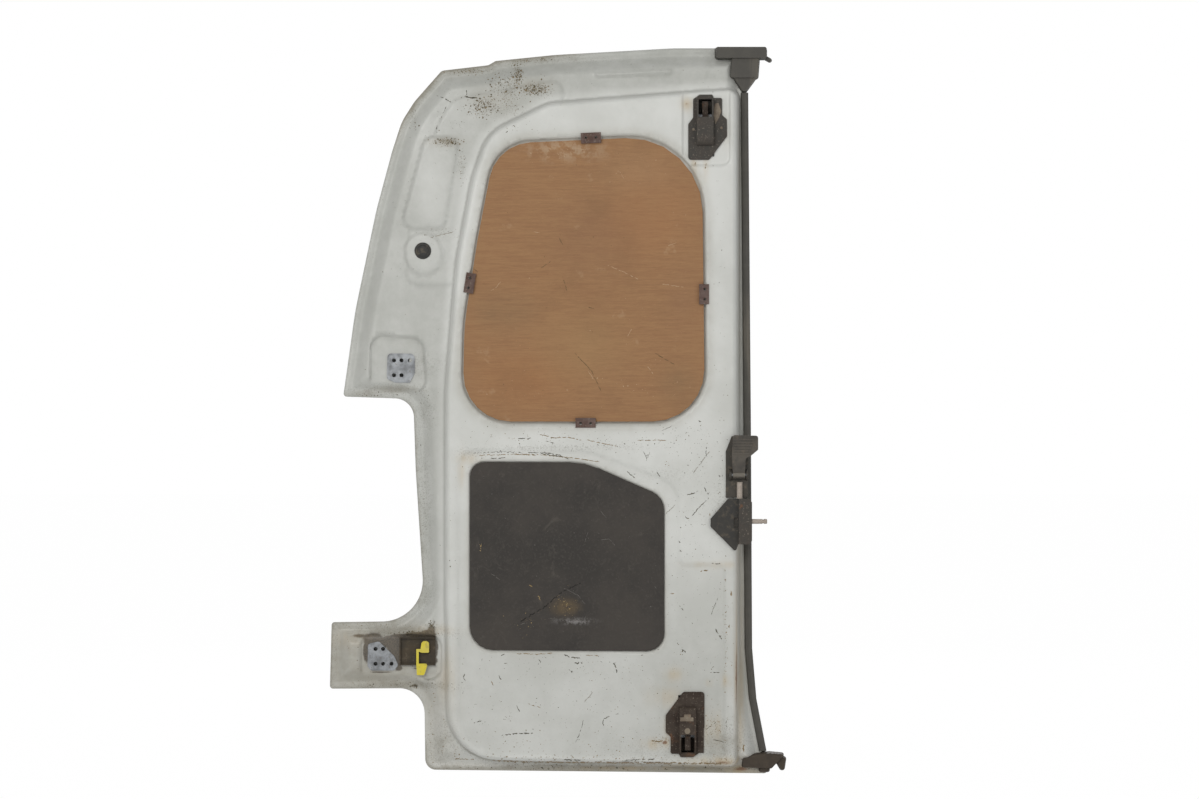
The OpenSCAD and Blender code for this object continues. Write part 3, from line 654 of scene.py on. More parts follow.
def zinc(name):
    f = Finish(name)
    cloud = f.noise(60, 5, 0.7)
    f.colour = f.between(f.range(cloud, 0.35, 0.65), (140, 143, 146), (108, 110, 112))
    f.tint((96, 84, 70), f.range(f.noise(140, 4, 0.7, shift=3), 0.6, 0.7))
    return f.done(f.range(cloud, 0.3, 0.7, 0.38, 0.6), 0.55, cloud, 0.3, 0.0004)


def steel(name, base, worn, rust_share):
    f = Finish(name)
    cloud = f.noise(48, 6, 0.7)
    fine = f.noise(350, 4, 0.6)
    f.colour = f.between(f.range(cloud, 0.35, 0.65), base, worn)
    f.tint((112, 78, 54), f.range(f.noise(34, 5, 0.7, shift=5), 0.62 - rust_share, 0.72), 0.8)
    f.tint((140, 130, 118), f.range(fine, 0.58, 0.7), 0.6)
    uneven = f.math("ADD", f.times(fine, 0.5), cloud)
    return f.done(f.range(cloud, 0.3, 0.7, 0.5, 0.8), 0.12, uneven, 0.35, 0.0005, **DULL)


def moulded(name, base, worn, ribs_at=None):
    """Moulded plastic; what stands further out than ribs_at has paler dust on it."""
    f = Finish(name)
    cloud = f.noise(40, 4, 0.6)
    grit = f.noise(700, 2, 0.5)
    f.colour = f.between(f.range(cloud, 0.35, 0.7), base, worn)
    f.tint((112, 101, 86), f.range(f.noise(90, 5, 0.7, shift=9), 0.5, 0.7), 0.45)
    if ribs_at is not None:
        depth = f.node("ShaderNodeSeparateXYZ", {0: f.place}).outputs["Y"]
        f.tint((112, 107, 98), f.range(depth, ribs_at, ribs_at - 0.0007, 0.0, 0.75))
    return f.done(f.range(cloud, 0.3, 0.7, 0.45, 0.65), 0.0, grit, 0.3, 0.0003, **DULL)


FINISHES = {name: make(name, *rest) for make, name, *rest in (
    (body_paint, "body_paint"),
    (chipped, "paint_chips", ((58, 56, 46), (96, 92, 76)), ((116, 102, 76), (146, 128, 102)),
     ((142, 138, 128), (150, 146, 136))),
    (chipped, "board_scuffs", ((96, 76, 54), (112, 90, 64)), ((150, 104, 62), (176, 128, 80)),
     ((176, 150, 122), (162, 132, 100))),
    (chipped, "cover_scuffs", ((34, 32, 30), (44, 41, 38)), ((128, 110, 76), (148, 128, 92)),
     ((100, 97, 93), (86, 83, 79))),
    (zinc, "zinc"),
    (plywood, "plywood"),
    (steel, "clip_metal", (96, 80, 74), (80, 62, 56), 0.05),
    (cover_black, "cover_black"),
    (rubber, "seal_rubber", (74, 72, 68), (84, 82, 77)),
    (steel, "latch_steel", (58, 56, 52), (72, 67, 62), 0.0),
    (steel, "worn_metal", (124, 114, 100), (104, 92, 80), 0.0),
    (steel, "latch_rusty", (62, 53, 45), (54, 45, 39), 0.06),
    (moulded, "lever_black", (56, 54, 50), (70, 66, 60)),
    (moulded, "lever_ribbed", (63, 60, 56), (88, 83, 76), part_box("release_lever")[0][1] + 0.0011),
    (moulded, "guard_black", (48, 47, 45), (60, 58, 54)),
    (rubber, "cap_brown", (58, 51, 44), (74, 66, 57)),
    (steel, "rod_metal", (170, 160, 150), (148, 138, 128), -0.05),
    (moulded, "plug_black", (44, 44, 43), (54, 53, 51)),
    (moulded, "channel_brown", (52, 46, 37), (70, 61, 48)),
    (moulded, "clip_yellow", (206, 190, 62), (200, 186, 88)),
)}


def dress(obj, finish):
    obj.data.materials.clear()
    obj.data.materials.append(FINISHES[finish])


def add(obj, finish, slot):
    """Finishes a new piece of the door, which doesn't move."""
    dress(obj, finish)
    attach(obj, DOOR)


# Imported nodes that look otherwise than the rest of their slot
OTHERWISE = {
    "latch_rusty": "lower_latch_plate lower_latch_housing lower_latch_claw upper_latch_claw",
    "guard_black": "catch_cover", "lever_ribbed": "release_lever", "cap_brown": "seal_cap_bottom",
    "rod_metal": "link_rod striker_pin",
}
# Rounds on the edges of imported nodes, which otherwise keep their shapes
ROUNDS = {
    0.4: "plywood_board upper_hinge_plate lower_hinge_plate",
    0.5: "board_clip_top board_clip_right board_clip_bottom board_clip_left",
    0.6: "access_cover upper_latch_claw lower_latch_claw",
    0.7: "upper_latch_plate lower_latch_plate",
    0.8: "lever_bracket check_strap_clip check_strap_channel upper_latch_housing lower_latch_housing",
    1.0: "release_lever catch_body seal_cap_top seal_cap_bottom",
    1.2: "edge_seal",
    1.6: "catch_cover",
}
SMOOTH_BELOW, ROUND_ABOVE = math.radians(32), math.radians(40)


def round_edges(obj, width):
    bevel = obj.modifiers.new("rounds", "BEVEL")
    bevel.width, bevel.segments, bevel.harden_normals = width * MM, 2, True
    return bevel


finish_of = {row["node"]: row["material_slot"] for row in frame["record"]["subparts"]}
finish_of.update((node, finish) for finish, nodes in OTHERWISE.items() for node in nodes.split())
for node, finish in finish_of.items():
    obj = frame["nodes"][node]
    dress(obj, finish)
    obj.data.shade_smooth()
    obj.data.set_sharp_from_angle(angle=SMOOTH_BELOW)
for width, nodes in ROUNDS.items():
    for node in nodes.split():
        bevel = round_edges(frame["nodes"][node], width)
        bevel.limit_method, bevel.angle_limit = "ANGLE", ROUND_ABOVE


def spots(points, rows):
    """Soft-edged patches: rows of (x, z, half width, half height, strength)."""
    out = np.zeros(len(points))
    for x, z, rx, rz, strength in rows:
        far = ((points[:, 0] - x) / rx) ** 2 + ((points[:, 1] - z) / rz) ** 2
        out = np.maximum(out, strength * np.exp(-far))
    return out


def along(points, line, width):
    """1 on a closed line, and less away from it."""
    return np.exp(-np.abs(signed_distance(points, line)) / width)


def window(values, low, high, soft):
    return 1 / (1 + np.exp(-(values - low) / soft)) / (1 + np.exp((values - high) / soft))


# Inner panel
rings = [filled(rounded(door_corners(), grow), 3.0) for grow in (0, -0.7, -1.8, -8.5, -11, -13, -15, -31, -34)]
for form in RAISED + SUNK:
    rings += form.rings()
rings += [filled(hole, 4.0) for hole in HOLES]
panel, flat = sheet_mesh("panel_sheet", rings, panel_depth, HOLES)
add(panel, "body_paint", "body_paint")
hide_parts("inner_panel")
X, Z = flat[:, 0], flat[:, 1]
door_gap = -signed_distance(flat, door_line)
box_gap = signed_distance(flat, RAISED[0].line)
hem = np.exp(-door_gap / 9)
lower = window(Z, BOTTOM - 40, BOTTOM + 60, 14)
in_box = window(-box_gap, -11, 1e4, 2)
grime = np.maximum.reduce([
    hem * lower,
    # Painted shade on the sloping band along the top edge, with grime in it
    np.exp(-door_gap / 7) * window(X, 10, 330, 14) * window(Z, 840, 1010, 20) * 1.15,
    hem * window(X, -120, 110, 8) * window(Z, -80, 440, 12) * 0.75,
    # Painted shade on the sloping band along the upper hinge-side edge, with grime in it
    hem * window(X, -90, 240, 20) * window(Z, 440, 1010, 20) * 0.4,
    along(flat, RAISED[0].line, 7) * lower * 0.8,
    spots(flat, [
        (206, 938, 34, 30, 0.46), (168, 905, 28, 18, 0.5), (254, 934, 24, 11, 0.68), (223, 962, 10, 18, 0.6),
        (150, 966, 44, 7, 0.66), (230, 984, 70, 7, 0.66), (108, 958, 20, 8, 0.4), (104, 848, 24, 7, 0.66),
        (131, 810, 8, 30, 0.5), (52, 890, 8, 24, 0.4), (200, 905, 44, 20, 0.36), (96, 698, 34, 12, 0.35),
        (300, 985, 120, 8, 0.4), (60, 480, 46, 26, 0.45), (-30, 432, 60, 12, 0.7), (20, 440, 60, 10, 0.8),
        (74, 400, 20, 50, 0.45), (70, 250, 16, 120, 0.5), (60, 110, 30, 50, 0.6), (30, 40, 90, 12, 0.85),
        (40, -48, 90, 10, 0.8), (100, -150, 30, 60, 0.5), (480, -150, 150, 30, 0.35), (560, -140, 60, 40, 0.65),
        (300, -188, 300, 8, 0.95), (150, 335, 30, 12, 0.5), (560, 250, 30, 50, 0.3), (470, 300, 90, 20, 0.25),
        (300, 344, 170, 6, 0.5), (520, -186, 110, 10, 0.9),
    ]),
])
rust = spots(flat, [
    (503, 908, 10, 10, 0.85), (516, 815, 6, 34, 0.7), (534, 812, 5, 30, 0.55), (520, 770, 7, 44, 0.35),
    (466, -140, 10, 7, 0.95), (505, -178, 30, 6, 0.6), (478, -116, 18, 18, 0.5), (540, -116, 18, 26, 0.5),
    (560, -172, 60, 8, 0.8), (594, -188, 30, 8, 0.9), (584, -30, 4, 125, 0.9), (594, 60, 4, 90, 0.45),
    (588, 160, 4, 60, 0.6), (142, 326, 16, 8, 0.75), (133, 305, 6, 26, 0.55), (-60, 30, 30, 14, 0.35),
    (90, 44, 30, 8, 0.5), (590, 800, 3, 90, 0.3), (566, 870, 8, 30, 0.25), (110, -30, 14, 40, 0.45),
    (590, 600, 3, 200, 0.25), (562, 152, 24, 6, 0.5), (530, 152, 30, 5, 0.4), (592, -70, 5, 90, 0.75),
    (481, -28, 14, 10, 0.65), (566, -39, 6, 10, 0.75), (539, -42, 5, 4, 0.7), (452, -142, 22, 8, 0.8),
    (549, -113, 10, 22, 0.6), (470, -66, 30, 16, 0.42), (430, -186, 120, 4, 0.6),
])
in_recess = window(-signed_distance(flat, SUNK[1].line), 0, 1e4, 2)
# Greyer outside the raised box, low in the recess, along the meeting edge and the top, and paler on the raised
# pad and the plug's boss: dust, and painted shade on the lower faces
dust = np.clip(
    0.72 * (1 - in_box) * window(Z, -60, 1100, 20) + 0.34 * in_recess * window(Z, -300, 110, 50)
    + 0.2 * window(X, 560, 660, 8) + 0.55 * window(Z, -300, 20, 60) * window(X, 440, 600, 50)
    + 0.25 * window(Z, TOP - 62, 1100, 10) * (1 - in_box)
    - 0.45 * spots(flat, [(80, 780, 22, 50, 1), (PLUG[0], PLUG[1], 24, 24, 1)]), 0, 1)
soil = np.clip(np.maximum.reduce([
    0.55 * window(X, -100, 66, 8) * window(Z, -60, 60, 6),
    spots(flat, [(104, 848, 26, 8, 0.75), (250, 940, 30, 12, 0.5), (185, 915, 40, 22, 0.4)]),
    0.5 * window(X, 60, 112, 10) * window(Z, -200, -20, 14),
    0.35 * window(door_gap, -5, 15, 2) * lower,
    0.12 * window(door_gap, -5, 14, 2) * window(X, 560, 660, 10),
    # Painted shade along the top edge, with soil in it
    0.85 * np.exp(-door_gap / 6) * window(X, 10, 330, 14) * window(Z, 840, 1010, 20),
    0.5 * window(door_gap, -5, 12, 2) * window(Z, -200, -176, 4),
    0.38 * window(signed_distance(flat, SUNK[0].line), -40, 11, 3) * in_box,
    0.3 * window(signed_distance(flat, SUNK[2].line), -40, 4, 2) * in_box,
]), 0, 1)
mud = spots(flat, [
    (-38, 33, 16, 5, 0.65), (-14, 27, 17, 11, 1.1), (-26, 8, 6, 22, 0.95), (2, 22, 8, 10, 1.0),
    (10, 26, 12, 8, 1.0), (20, 12, 12, 20, 1.1), (25, -10, 6, 12, 0.95), (30, 31, 22, 6, 0.95),
    (56, 33, 22, 7, 1.1), (76, 34, 14, 10, 1.1), (82, 45, 7, 9, 0.85), (85, 56, 4, 9, 0.6),
    (88, 14, 5, 18, 1.0), (87, -8, 5, 9, 0.8), (27, -21, 8, 4, 0.8), (0, -27, 28, 2, 0.6),
    (60, -20, 22, 2, 0.6), (54, -50, 8, 4, 0.6),
]) * 1.25
# Painted shade: a grey line in the crease along the foot of the raised box
seam = np.exp(-(box_gap / 1.6) ** 2) * window(Z, -250, 1100, 10) * window(X, -100, 560, 8)
paint_masks(panel, grime=grime, rust=rust, dust=dust, soil=soil, seam=seam, mud=mud)

# Chips and scratches, at the places in the door's plane where the camera sees them
DARK, MOSS, BROWN, GREY = 0.0, 0.1, 0.5, 1.0
STROKES = {
    (DARK, 1.5): [
        (224, 359, 248, 359), (270, 355, 286, 350), (399, 351, 403, 348), (179, 326, 206, 327),
        (288, 333, 310, 324), (404, 305, 410, 299, 422, 290), (410, 299, 420, 301), (453, 304, 460, 294),
        (453, 286, 457, 282), (503, 315, 509, 315), (536, 345, 534, 338, 537, 327),
        (540, 261, 525, 247, 510, 230), (489, 190, 495, 184), (491, 176, 495, 170), (490, 83, 499, 74),
        (544, 153, 564, 151), (427, 1, 433, 1), (454, 10, 462, 10), (541, -27, 559, -27),
        (546, -138, 569, -143), (569, -106, 567, -112, 570, -119), (258, -5, 262, -10, 256, -16),
        (201, -12, 209, -12), (196, 0, 204, 5), (165, -4, 165, -10), (137, -29, 134, -36, 139, -43),
        (192, -32, 198, -41), (222, -81, 228, -94), (376, -99, 366, -104, 364, -111, 369, -120),
        (385, -96, 393, -96), (151, -111, 166, -106), (360, -9, 369, -12), (308, -22, 317, -28),
        (312, -24, 313, -30), (503, 266, 514, 268, 523, 273), (505, 226, 499, 230),
        (139, 934, 140, 928, 138, 922), (300, -171, 330, -172), (400, -172, 452, -170), (560, 34, 556, 28),
        (567, -23, 569, -27), (45, 873, 48, 868), (104, 920, 114, 913, 120, 914), (204, 863, 209, 868),
    ],
    (DARK, 2.2): [
        (317, -11.5, 333, -11.5), (382, -11, 386, -18, 388, -30), (300, 2, 312, -2, 329, -4),
        (532, 279, 535, 271, 539, 264), (550, 45, 555, 36, 562, 26), (541, -40, 541, -45),
        (197, -131, 222, -128, 251, -127), (495, 12, 504, 3), (150, 334, 188, 337, 232, 336.5),
        (240, 336, 266, 335.5, 297, 331), (262, 334, 300, 328), (522, 388, 530, 386),
        (135, 924, 146, 921, 158, 921), (216, 874, 222, 878),
    ],
    (DARK, 1.0): [
        (543, 68, 549, 84, 555, 98), (319, -143, 325, -131, 330, -116, 333, -100),
        (106, 907, 101, 896, 96, 886), (93, 882, 88, 864), (90, 925, 104, 920), (431, 338, 440, 320),
        (434, 330, 444, 333), (436, 322, 443, 338), (462, 372, 480, 380), (548, -112, 556, -104),
        (534, -122, 544, -114),
    ],
    (BROWN, 1.6): [
        (260, 366, 283, 360, 306, 361, 331, 356), (338, 357, 362, 351, 389, 346), (421, 356, 471, 356),
        (475, 103, 488, 103), (336, 1, 359, 1), (160, 331, 217, 333, 256, 331),
        (217, 334, 262, 332, 312, 327, 361, 320), (222, 4, 250, 3, 285, 5), (241, -79, 264, -86),
        (180, -41, 186, -54), (566, 143, 566, 136), (541, 236, 541, 229),
    ],
    (BROWN, 2.6): [
        (582, 60, 583, -20, 586, -90, 588, -160), (592, -40, 594, -110, 597, -160), (576, 108, 576, 97),
        (573, 52, 573, 44), (444, -140, 456, -141, 469, -138), (518, 826, 517, 806), (535, 822, 534, 802),
        (120, -170, 240, -175, 420, -176, 556, -177), (525, 140, 540, 141),
    ],
    (GREY, 1.6): [
        (541, 338, 512, 300), (484, 250, 442, 208), (300, 320, 240, 322), (348, -60, 332, -78),
        (196, 128, 188, 96), (118, 700, 78, 690), (222, 610, 214, 560),
    ],
}
# Specks in clusters: middle, reach each way, how many, size and tone
CLUSTERS = [
    (166, 906, 20, 15, 210, 1.8, MOSS), (254, 934, 19, 9, 230, 1.9, MOSS), (223, 962, 8, 16, 130, 1.8, MOSS),
    (228, 984, 60, 5, 170, 1.3, MOSS), (206, 938, 28, 22, 240, 1.4, MOSS), (146, 965, 36, 5, 110, 1.4, MOSS),
    (105, 848, 20, 6, 150, 1.5, MOSS), (131, 810, 8, 26, 60, 1.3, MOSS), (52, 890, 7, 20, 40, 1.3, MOSS),
    (200, 905, 40, 14, 100, 1.3, MOSS), (222, 873, 26, 15, 12, 1.6, MOSS), (120, 880, 60, 60, 70, 0.9, MOSS),
    (96, 698, 32, 10, 34, 1.0, MOSS), (232, 362, 60, 9, 46, 1.1, BROWN), (566, 35, 3, 110, 90, 1.4, BROWN),
    (350, -168, 230, 6, 170, 1.5, BROWN), (330, -184, 230, 5, 210, 1.7, DARK),
    (466, -140, 18, 10, 70, 1.4, BROWN), (548, -112, 20, 24, 110, 1.4, BROWN),
    (84, -120, 9, 60, 90, 1.3, BROWN), (0, -49, 80, 4, 80, 1.3, DARK), (-10, 50, 78, 4, 50, 1.2, BROWN),
    (65, 250, 3, 150, 60, 1.0, DARK), (0, 430, 46, 4, 60, 1.3, DARK), (48, 38, 34, 4, 90, 1.6, DARK),
    (81, 50, 6, 8, 30, 1.9, DARK), (53, -48, 8, 5, 26, 1.9, DARK), (340, -60, 200, 80, 150, 0.9, DARK),
    (420, 350, 130, 14, 70, 1.1, DARK), (520, 250, 44, 90, 110, 1.0, DARK), (320, -18, 190, 14, 90, 0.9, DARK),
    (205, -103, 8, 4, 12, 1.4, DARK), (238, -128, 4, 2, 10, 1.6, DARK), (470, 314, 3, 10, 10, 1.4, BROWN),
    (498, 8, 6, 6, 10, 1.6, DARK), (559, 290, 4, 18, 12, 1.5, DARK), (556, -176, 22, 8, 60, 1.5, BROWN),
    (240, 820, 60, 60, 20, 1.0, MOSS), (150, 400, 60, 200, 60, 0.8, DARK), (60, 430, 20, 12, 40, 1.1, DARK),
    (583, -60, 5, 100, 90, 1.4, BROWN), (270, -150, 180, 24, 110, 1.0, BROWN),
    (500, 372, 40, 14, 30, 1.1, DARK), (478, -90, 24, 40, 40, 1.1, BROWN), (-58, 20, 24, 30, 40, 0.9, DARK),
]


# How far the middle of a mark stands proud of its surface, and its rim
CROWN_LIFT, RIM_LIFT = 0.16, -0.04


def speck(chance, x, z, size, tone):
    """A small uneven blot: its rim lies just in the paint and its middle stands over it."""
    sides = 7
    turn = chance.uniform(0, math.tau)
    reach, thin = size * chance.uniform(0.5, 1.2), chance.uniform(0.35, 0.9)
    points = [(x, z, CROWN_LIFT)]
    for k in range(sides):
        angle = math.tau * k / sides
        a, b = reach * math.cos(angle), reach * thin * math.sin(angle)
        grow = chance.uniform(0.7, 1.2)
        points.append((x + grow * (a * math.cos(turn) - b * math.sin(turn)),
                       z + grow * (a * math.sin(turn) + b * math.cos(turn)), RIM_LIFT))
    return points, [(0, k + 1, (k + 1) % sides + 1) for k in range(sides)], tone


def stroke(chance, row, width, tone):
    """Uneven dashes along a line, given as a row of x, z, x, z and so on."""
    dashes, run = [], []
    corners = [Vector(pair) for pair in zip(row[::2], row[1::2])]
    for a, b in zip(corners, corners[1:]):
        side = Vector((a.y - b.y, b.x - a.x)).normalized()
        steps = max(2, round((b - a).length / 1.8))
        for k in range(steps):
            if chance.random() < 0.13 and len(run) > 2:
                dashes.append(run)
                run = []
            middle = a.lerp(b, k / steps) + side * chance.gauss(0, 0.22 * width)
            run.append((middle, side * width * chance.uniform(0.25, 0.65)))
    out = []
    for run in dashes + [run]:
        if len(run) < 3:
            continue
        points, faces = [], []
        for k, (middle, half) in enumerate(run):
            if k in (0, len(run) - 1):
                half = half * 0.15
            points += [(*(middle + half), RIM_LIFT), (*middle, CROWN_LIFT), (*(middle - half), RIM_LIFT)]
            if k:
                n = 3 * k
                faces += [(n - 3, n - 2, n + 1, n), (n - 2, n - 1, n + 2, n + 1)]
        out.append((points, faces, tone))
    return out


MARKS_SEED = 6
# A wall is steep where it rises by more than this over a step to each side
STEEP_STEP, STEEP_RISE = 1.5, 3.0
# How far marks stay from the rims of the door and of a flat piece, from the two openings and from small holes
RIM_ROOM, FLAT_ROOM, OPENING_ROOM, HOLE_ROOM = 2.5, 12, 16, 6


def clear_of_holes(flat):
    clear = signed_distance(flat, door_line) < -RIM_ROOM
    for k, hole in enumerate(HOLES):
        clear &= signed_distance(flat, hole) > (OPENING_ROOM if k < 2 else HOLE_ROOM)
    return clear


def add_marks(name, slot, strokes, clusters, fields, depth_at, clear_at):
    """Blots and strokes on a surface, placed in the door's plane where the camera sees them."""
    chance = random.Random(MARKS_SEED)
    found = []
    for (tone, width), lines in strokes.items():
        for line in lines:
            found += stroke(chance, line, width, tone)
    sizes = (0.4, 0.5, 0.6, 0.8, 1.2)
    for x, z, reach_x, reach_z, count, size, tone in clusters:
        for _ in range(count):
            at = chance.gauss(x, 0.6 * reach_x), chance.gauss(z, 0.6 * reach_z)
            found.append(speck(chance, *at, size * chance.choice(sizes), tone + chance.uniform(0, 0.25)))
    for x0, x1, z0, z1, count, size, tone in fields:
        for _ in range(count):
            at = chance.uniform(x0, x1), chance.uniform(z0, z1)
            found.append(speck(chance, *at, size * chance.choice(sizes), tone + chance.uniform(0, 0.3)))
    middle = np.array(AIM) / MM
    starts = np.array([mark[0][0][:2] for mark in found])
    # A mark on a steep wall would be drawn out across it
    step = np.array([STEEP_STEP, 0.0])
    clear = clear_at(starts) & (np.abs(depth_at(starts + step) - depth_at(starts - step)) < STEEP_RISE)
    points, tones, faces = [], [], []
    for mark, good in zip(found, clear):
        if good:
            first = len(points)
            points += mark[0]
            tones += [mark[2]] * len(mark[0])
            faces += [[first + k for k in face] for face in mark[1]]
    points = np.array(points)
    seen, lift = points[:, :2], points[:, 2]
    flat = seen
    for _ in range(2):
        flat = middle + (seen - middle) * (1 + depth_at(flat) * MM / CAMERA_DISTANCE)[:, None]
    obj = new_object(name, in_space(flat, depth_at(flat) - lift), faces)
    paint_masks(obj, tone=np.array(tones))
    add(obj, name, slot)


# Specks spread evenly: from x, to x, from z, to z, how many, size and tone
FIELDS = [
    (130, 560, 326, 382, 190, 1.0, DARK), (470, 566, -20, 380, 260, 1.0, DARK),
    (112, 560, -150, 2, 330, 0.9, DARK), (112, 560, -172, -120, 130, 1.2, BROWN),
    (300, 560, -150, 2, 120, 1.1, BROWN), (104, 140, 0, 330, 50, 0.9, DARK),
    (90, 300, 860, 980, 150, 0.8, DARK), (545, 572, 380, 820, 60, 0.9, DARK),
    (-80, 100, -50, 50, 160, 0.9, DARK), (60, 110, -190, -50, 120, 1.0, BROWN),
    (-60, 100, 430, 900, 180, 0.7, DARK), (300, 560, 930, 990, 60, 0.7, DARK),
]
add_marks("paint_chips", "body_paint", STROKES, CLUSTERS, FIELDS, panel_depth, clear_of_holes)


def front_of(node):
    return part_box(node)[0][1] / MM


def add_flat_marks(node, *marks):
    """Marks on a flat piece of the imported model, away from its rim."""
    low, high = (np.array(corner)[[0, 2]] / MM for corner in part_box(node))

    def depth_at(flat):
        return np.full(len(flat), front_of(node))

    def clear_at(flat):
        return np.all((flat > low + FLAT_ROOM) & (flat < high - FLAT_ROOM), axis=1)
    add_marks(*marks, depth_at, clear_at)


BOARD_STROKES = {
    (GREY, 1.2): [
        (462, 614, 500, 608), (372, 645, 400, 633, 428, 619), (196, 618, 188, 608, 176, 600),
        (318, 838, 342, 834), (282, 846, 300, 838), (392, 800, 400, 786), (486, 682, 470, 676),
        (340, 470, 352, 452), (438, 478, 450, 462), (250, 700, 262, 698), (412, 540, 404, 526),
    ],
    (DARK, 1.4): [
        (318, 500, 346, 470, 362, 436), (292, 690, 300, 676), (340, 576, 352, 572), (450, 500, 484, 480),
        (262, 640, 280, 652), (300, 620, 306, 600), (150, 640, 160, 632),
    ],
}
BOARD_CLUSTERS = [
    (302, 836, 50, 12, 40, 1.6, GREY), (400, 800, 60, 30, 40, 1.1, GREY), (236, 522, 14, 12, 12, 1.6, BROWN),
    (225, 430, 60, 30, 40, 1.1, GREY), (440, 450, 60, 40, 50, 1.2, GREY), (300, 600, 30, 30, 30, 1.3, DARK),
]
BOARD_FIELDS = [(160, 520, 400, 850, 150, 0.9, DARK), (160, 520, 400, 850, 120, 0.8, GREY)]
add_flat_marks("plywood_board", "board_scuffs", "plywood", BOARD_STROKES, BOARD_CLUSTERS, BOARD_FIELDS)
COVER_STROKES = {
    (DARK, 2.4): [(228, 57, 266, 79, 297, 106, 330, 121)],
    (GREY, 1.1): [
        (355, 191, 375, 193, 386, 181), (275, 62, 310, 60, 346, 56), (449, 116, 454, 109), (412, 22, 424, 14),
        (180, 136, 196, 124), (340, 205, 334, 186), (300, 112, 324, 100, 336, 84), (222, 50, 238, 55),
        (360, 240, 372, 226), (150, 250, 146, 228),
    ],
    (BROWN, 2.0): [(164, 184, 161, 176), (243, 118, 252, 110), (258, 100, 262, 90)],
}
COVER_CLUSTERS = [
    (316, 60, 32, 4, 70, 1.1, GREY), (303, 84, 22, 14, 60, 1.3, BROWN), (351, 92, 1, 1, 1, 2.4, GREY),
    (443, 81, 1, 1, 1, 2.4, GREY), (163, 178, 3, 5, 8, 1.8, BROWN), (240, 60, 30, 20, 40, 1.0, BROWN),
]
COVER_FIELDS = [(165, 455, 25, 300, 200, 0.8, GREY)]
add_flat_marks("access_cover", "cover_scuffs", "cover_black", COVER_STROKES, COVER_CLUSTERS, COVER_FIELDS)


def add_fitting(name, corners, front, thick, finish="worn_metal", edge=0.5):
    """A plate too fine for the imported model, drawn where the camera sees its corners."""
    scale = 1 + front * MM / CAMERA_DISTANCE
    middle = [v / MM for v in AIM]
    flat = [[m + (v - m) * scale for v, m in zip(corner, middle)] for corner in corners]
    n = len(flat)
    verts = [(x * MM, y * MM, z * MM) for y in (front, front + thick) for x, z in flat]
    faces = [tuple(range(n)), tuple(range(2 * n - 1, n - 1, -1))]
    faces += [(k, k + n, (k + 1) % n + n, (k + 1) % n) for k in range(n)]
    obj = new_object(name, verts, faces, smooth=True)
    round_edges(obj, edge)
    add(obj, finish, "latch_steel")


def disc(x, z, r, sides=14):
    angles = [math.tau * k / sides for k in range(sides)]
    return [(x + r * math.cos(angle), z + r * math.sin(angle)) for angle in angles]


lower_front, lower_plate = front_of("lower_latch_housing"), front_of("lower_latch_plate")
upper_plate = front_of("upper_latch_plate")
add_fitting("lower_latch_tee", [
    (492, -108), (514, -108), (514, -101.5), (509.5, -101),
    (509.5, -96.5), (498.5, -96.5), (498.5, -101), (492, -101.5),
], lower_front - 0.9, 1.4)
add_fitting("lower_latch_rib", [
    (519.5, -112), (531, -112), (531, -160), (521, -160),
], lower_plate - 0.7, 1.2, "latch_rusty")
add_fitting("lower_latch_rivet", disc(504, -124, 5), lower_front - 1.0, 1.5)
add_fitting("upper_latch_wear", [
    (549, 911), (555, 913), (560, 899), (556, 888), (550, 878), (547, 892), (548, 904),
], upper_plate - 0.4, 0.8, edge=0.2)
for side, x, z in (("left", 514, 869), ("right", 560, 871.5)):
    add_fitting("upper_latch_screw_" + side, disc(x, z, 2.4, 10), upper_plate - 1.2, 1.8)

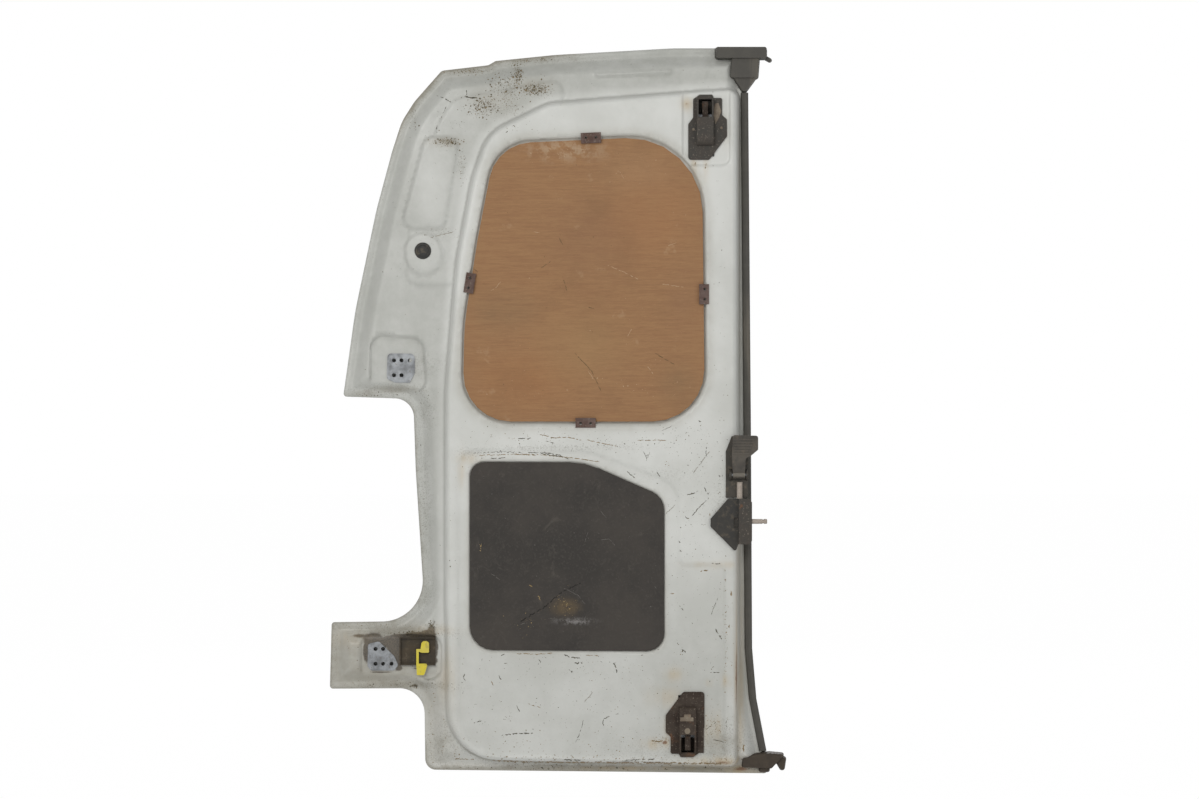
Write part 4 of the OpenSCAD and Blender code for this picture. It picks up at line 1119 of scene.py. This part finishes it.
# Outer skin
rings = [filled(rounded(door_corners(), grow), 4.0) for grow in (0, -0.8, -1.6)]
rings += [filled(rounded(door_corners(HEM_W), grow), 6.0) for grow in (-4, -11, -24)]
for form in SKIN_FORMS:
    rings += form.rings(6.0)
skin, flat = sheet_mesh("skin_sheet", rings, skin_depth, [], back=True)
add(skin, "body_paint", "body_paint")
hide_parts("outer_skin")
Z = flat[:, 1]
paint_masks(skin, grime=window(Z, -260, -130, 22) * 0.4, dust=window(Z, -260, 60, 60) * 0.6)

# Stage and light
CENTRE = (0.29, 0, 0.41)
ROOM_LIGHT = 0.5
FLOOR_SIZE = 40.0
FLOOR_GAP = 0.06
FLOOR_WHITE = 0.99
world = bpy.data.worlds.new("world")
bpy.context.scene.world = world
world.use_nodes = True
plain = world.node_tree.nodes["Background"]
plain.inputs["Color"].default_value = (1, 1, 1, 1)
plain.inputs["Strength"].default_value = ROOM_LIGHT
Nodes(world.node_tree).white_to_camera("ShaderNodeBackground", 1.0, plain.outputs[0], "World Output")


def area_light(name, place_at, size, power, colour=(1, 1, 1)):
    """A round lamp that faces the middle of the door."""
    data = bpy.data.lights.new(name, "AREA")
    data.shape, data.size, data.energy, data.color = "DISK", size, power, colour
    lamp = bpy.data.objects.new(name, data)
    lamp.location = place_at
    lamp.rotation_euler = (Vector(CENTRE) - Vector(place_at)).to_track_quat("-Z", "Y").to_euler()
    bpy.context.scene.collection.objects.link(lamp)


def pale_floor():
    """A floor that the camera sees as white with the door's soft shadow on it."""
    edge, height = FLOOR_SIZE / 2, BOTTOM * MM - FLOOR_GAP
    corners = ((-edge, -edge), (edge, -edge), (edge, edge), (-edge, edge))
    floor = new_object("floor", [(x, y, height) for x, y in corners], [(0, 1, 2, 3)])
    f = Finish("floor")
    f.colour = (0.9, 0.9, 0.9, 1.0)
    f.done(0.9)
    f.white_to_camera("ShaderNodeEmission", FLOOR_WHITE, f.shader.outputs[0], "Material Output")
    floor.data.materials.append(f.material)


pale_floor()
area_light("key", (-1.3, -5.4, 2.2), 2.2, 113, (1.0, 0.99, 0.97))
area_light("fill", (2.6, -3.4, 0.6), 2.4, 21)
area_light("behind", (0.3, 3.4, 1.8), 2.4, 60)

make_camera()
scene = bpy.context.scene
scene.view_settings.view_transform = "Standard"
scene.render.resolution_x, scene.render.resolution_y = PHOTO_W, PHOTO_H
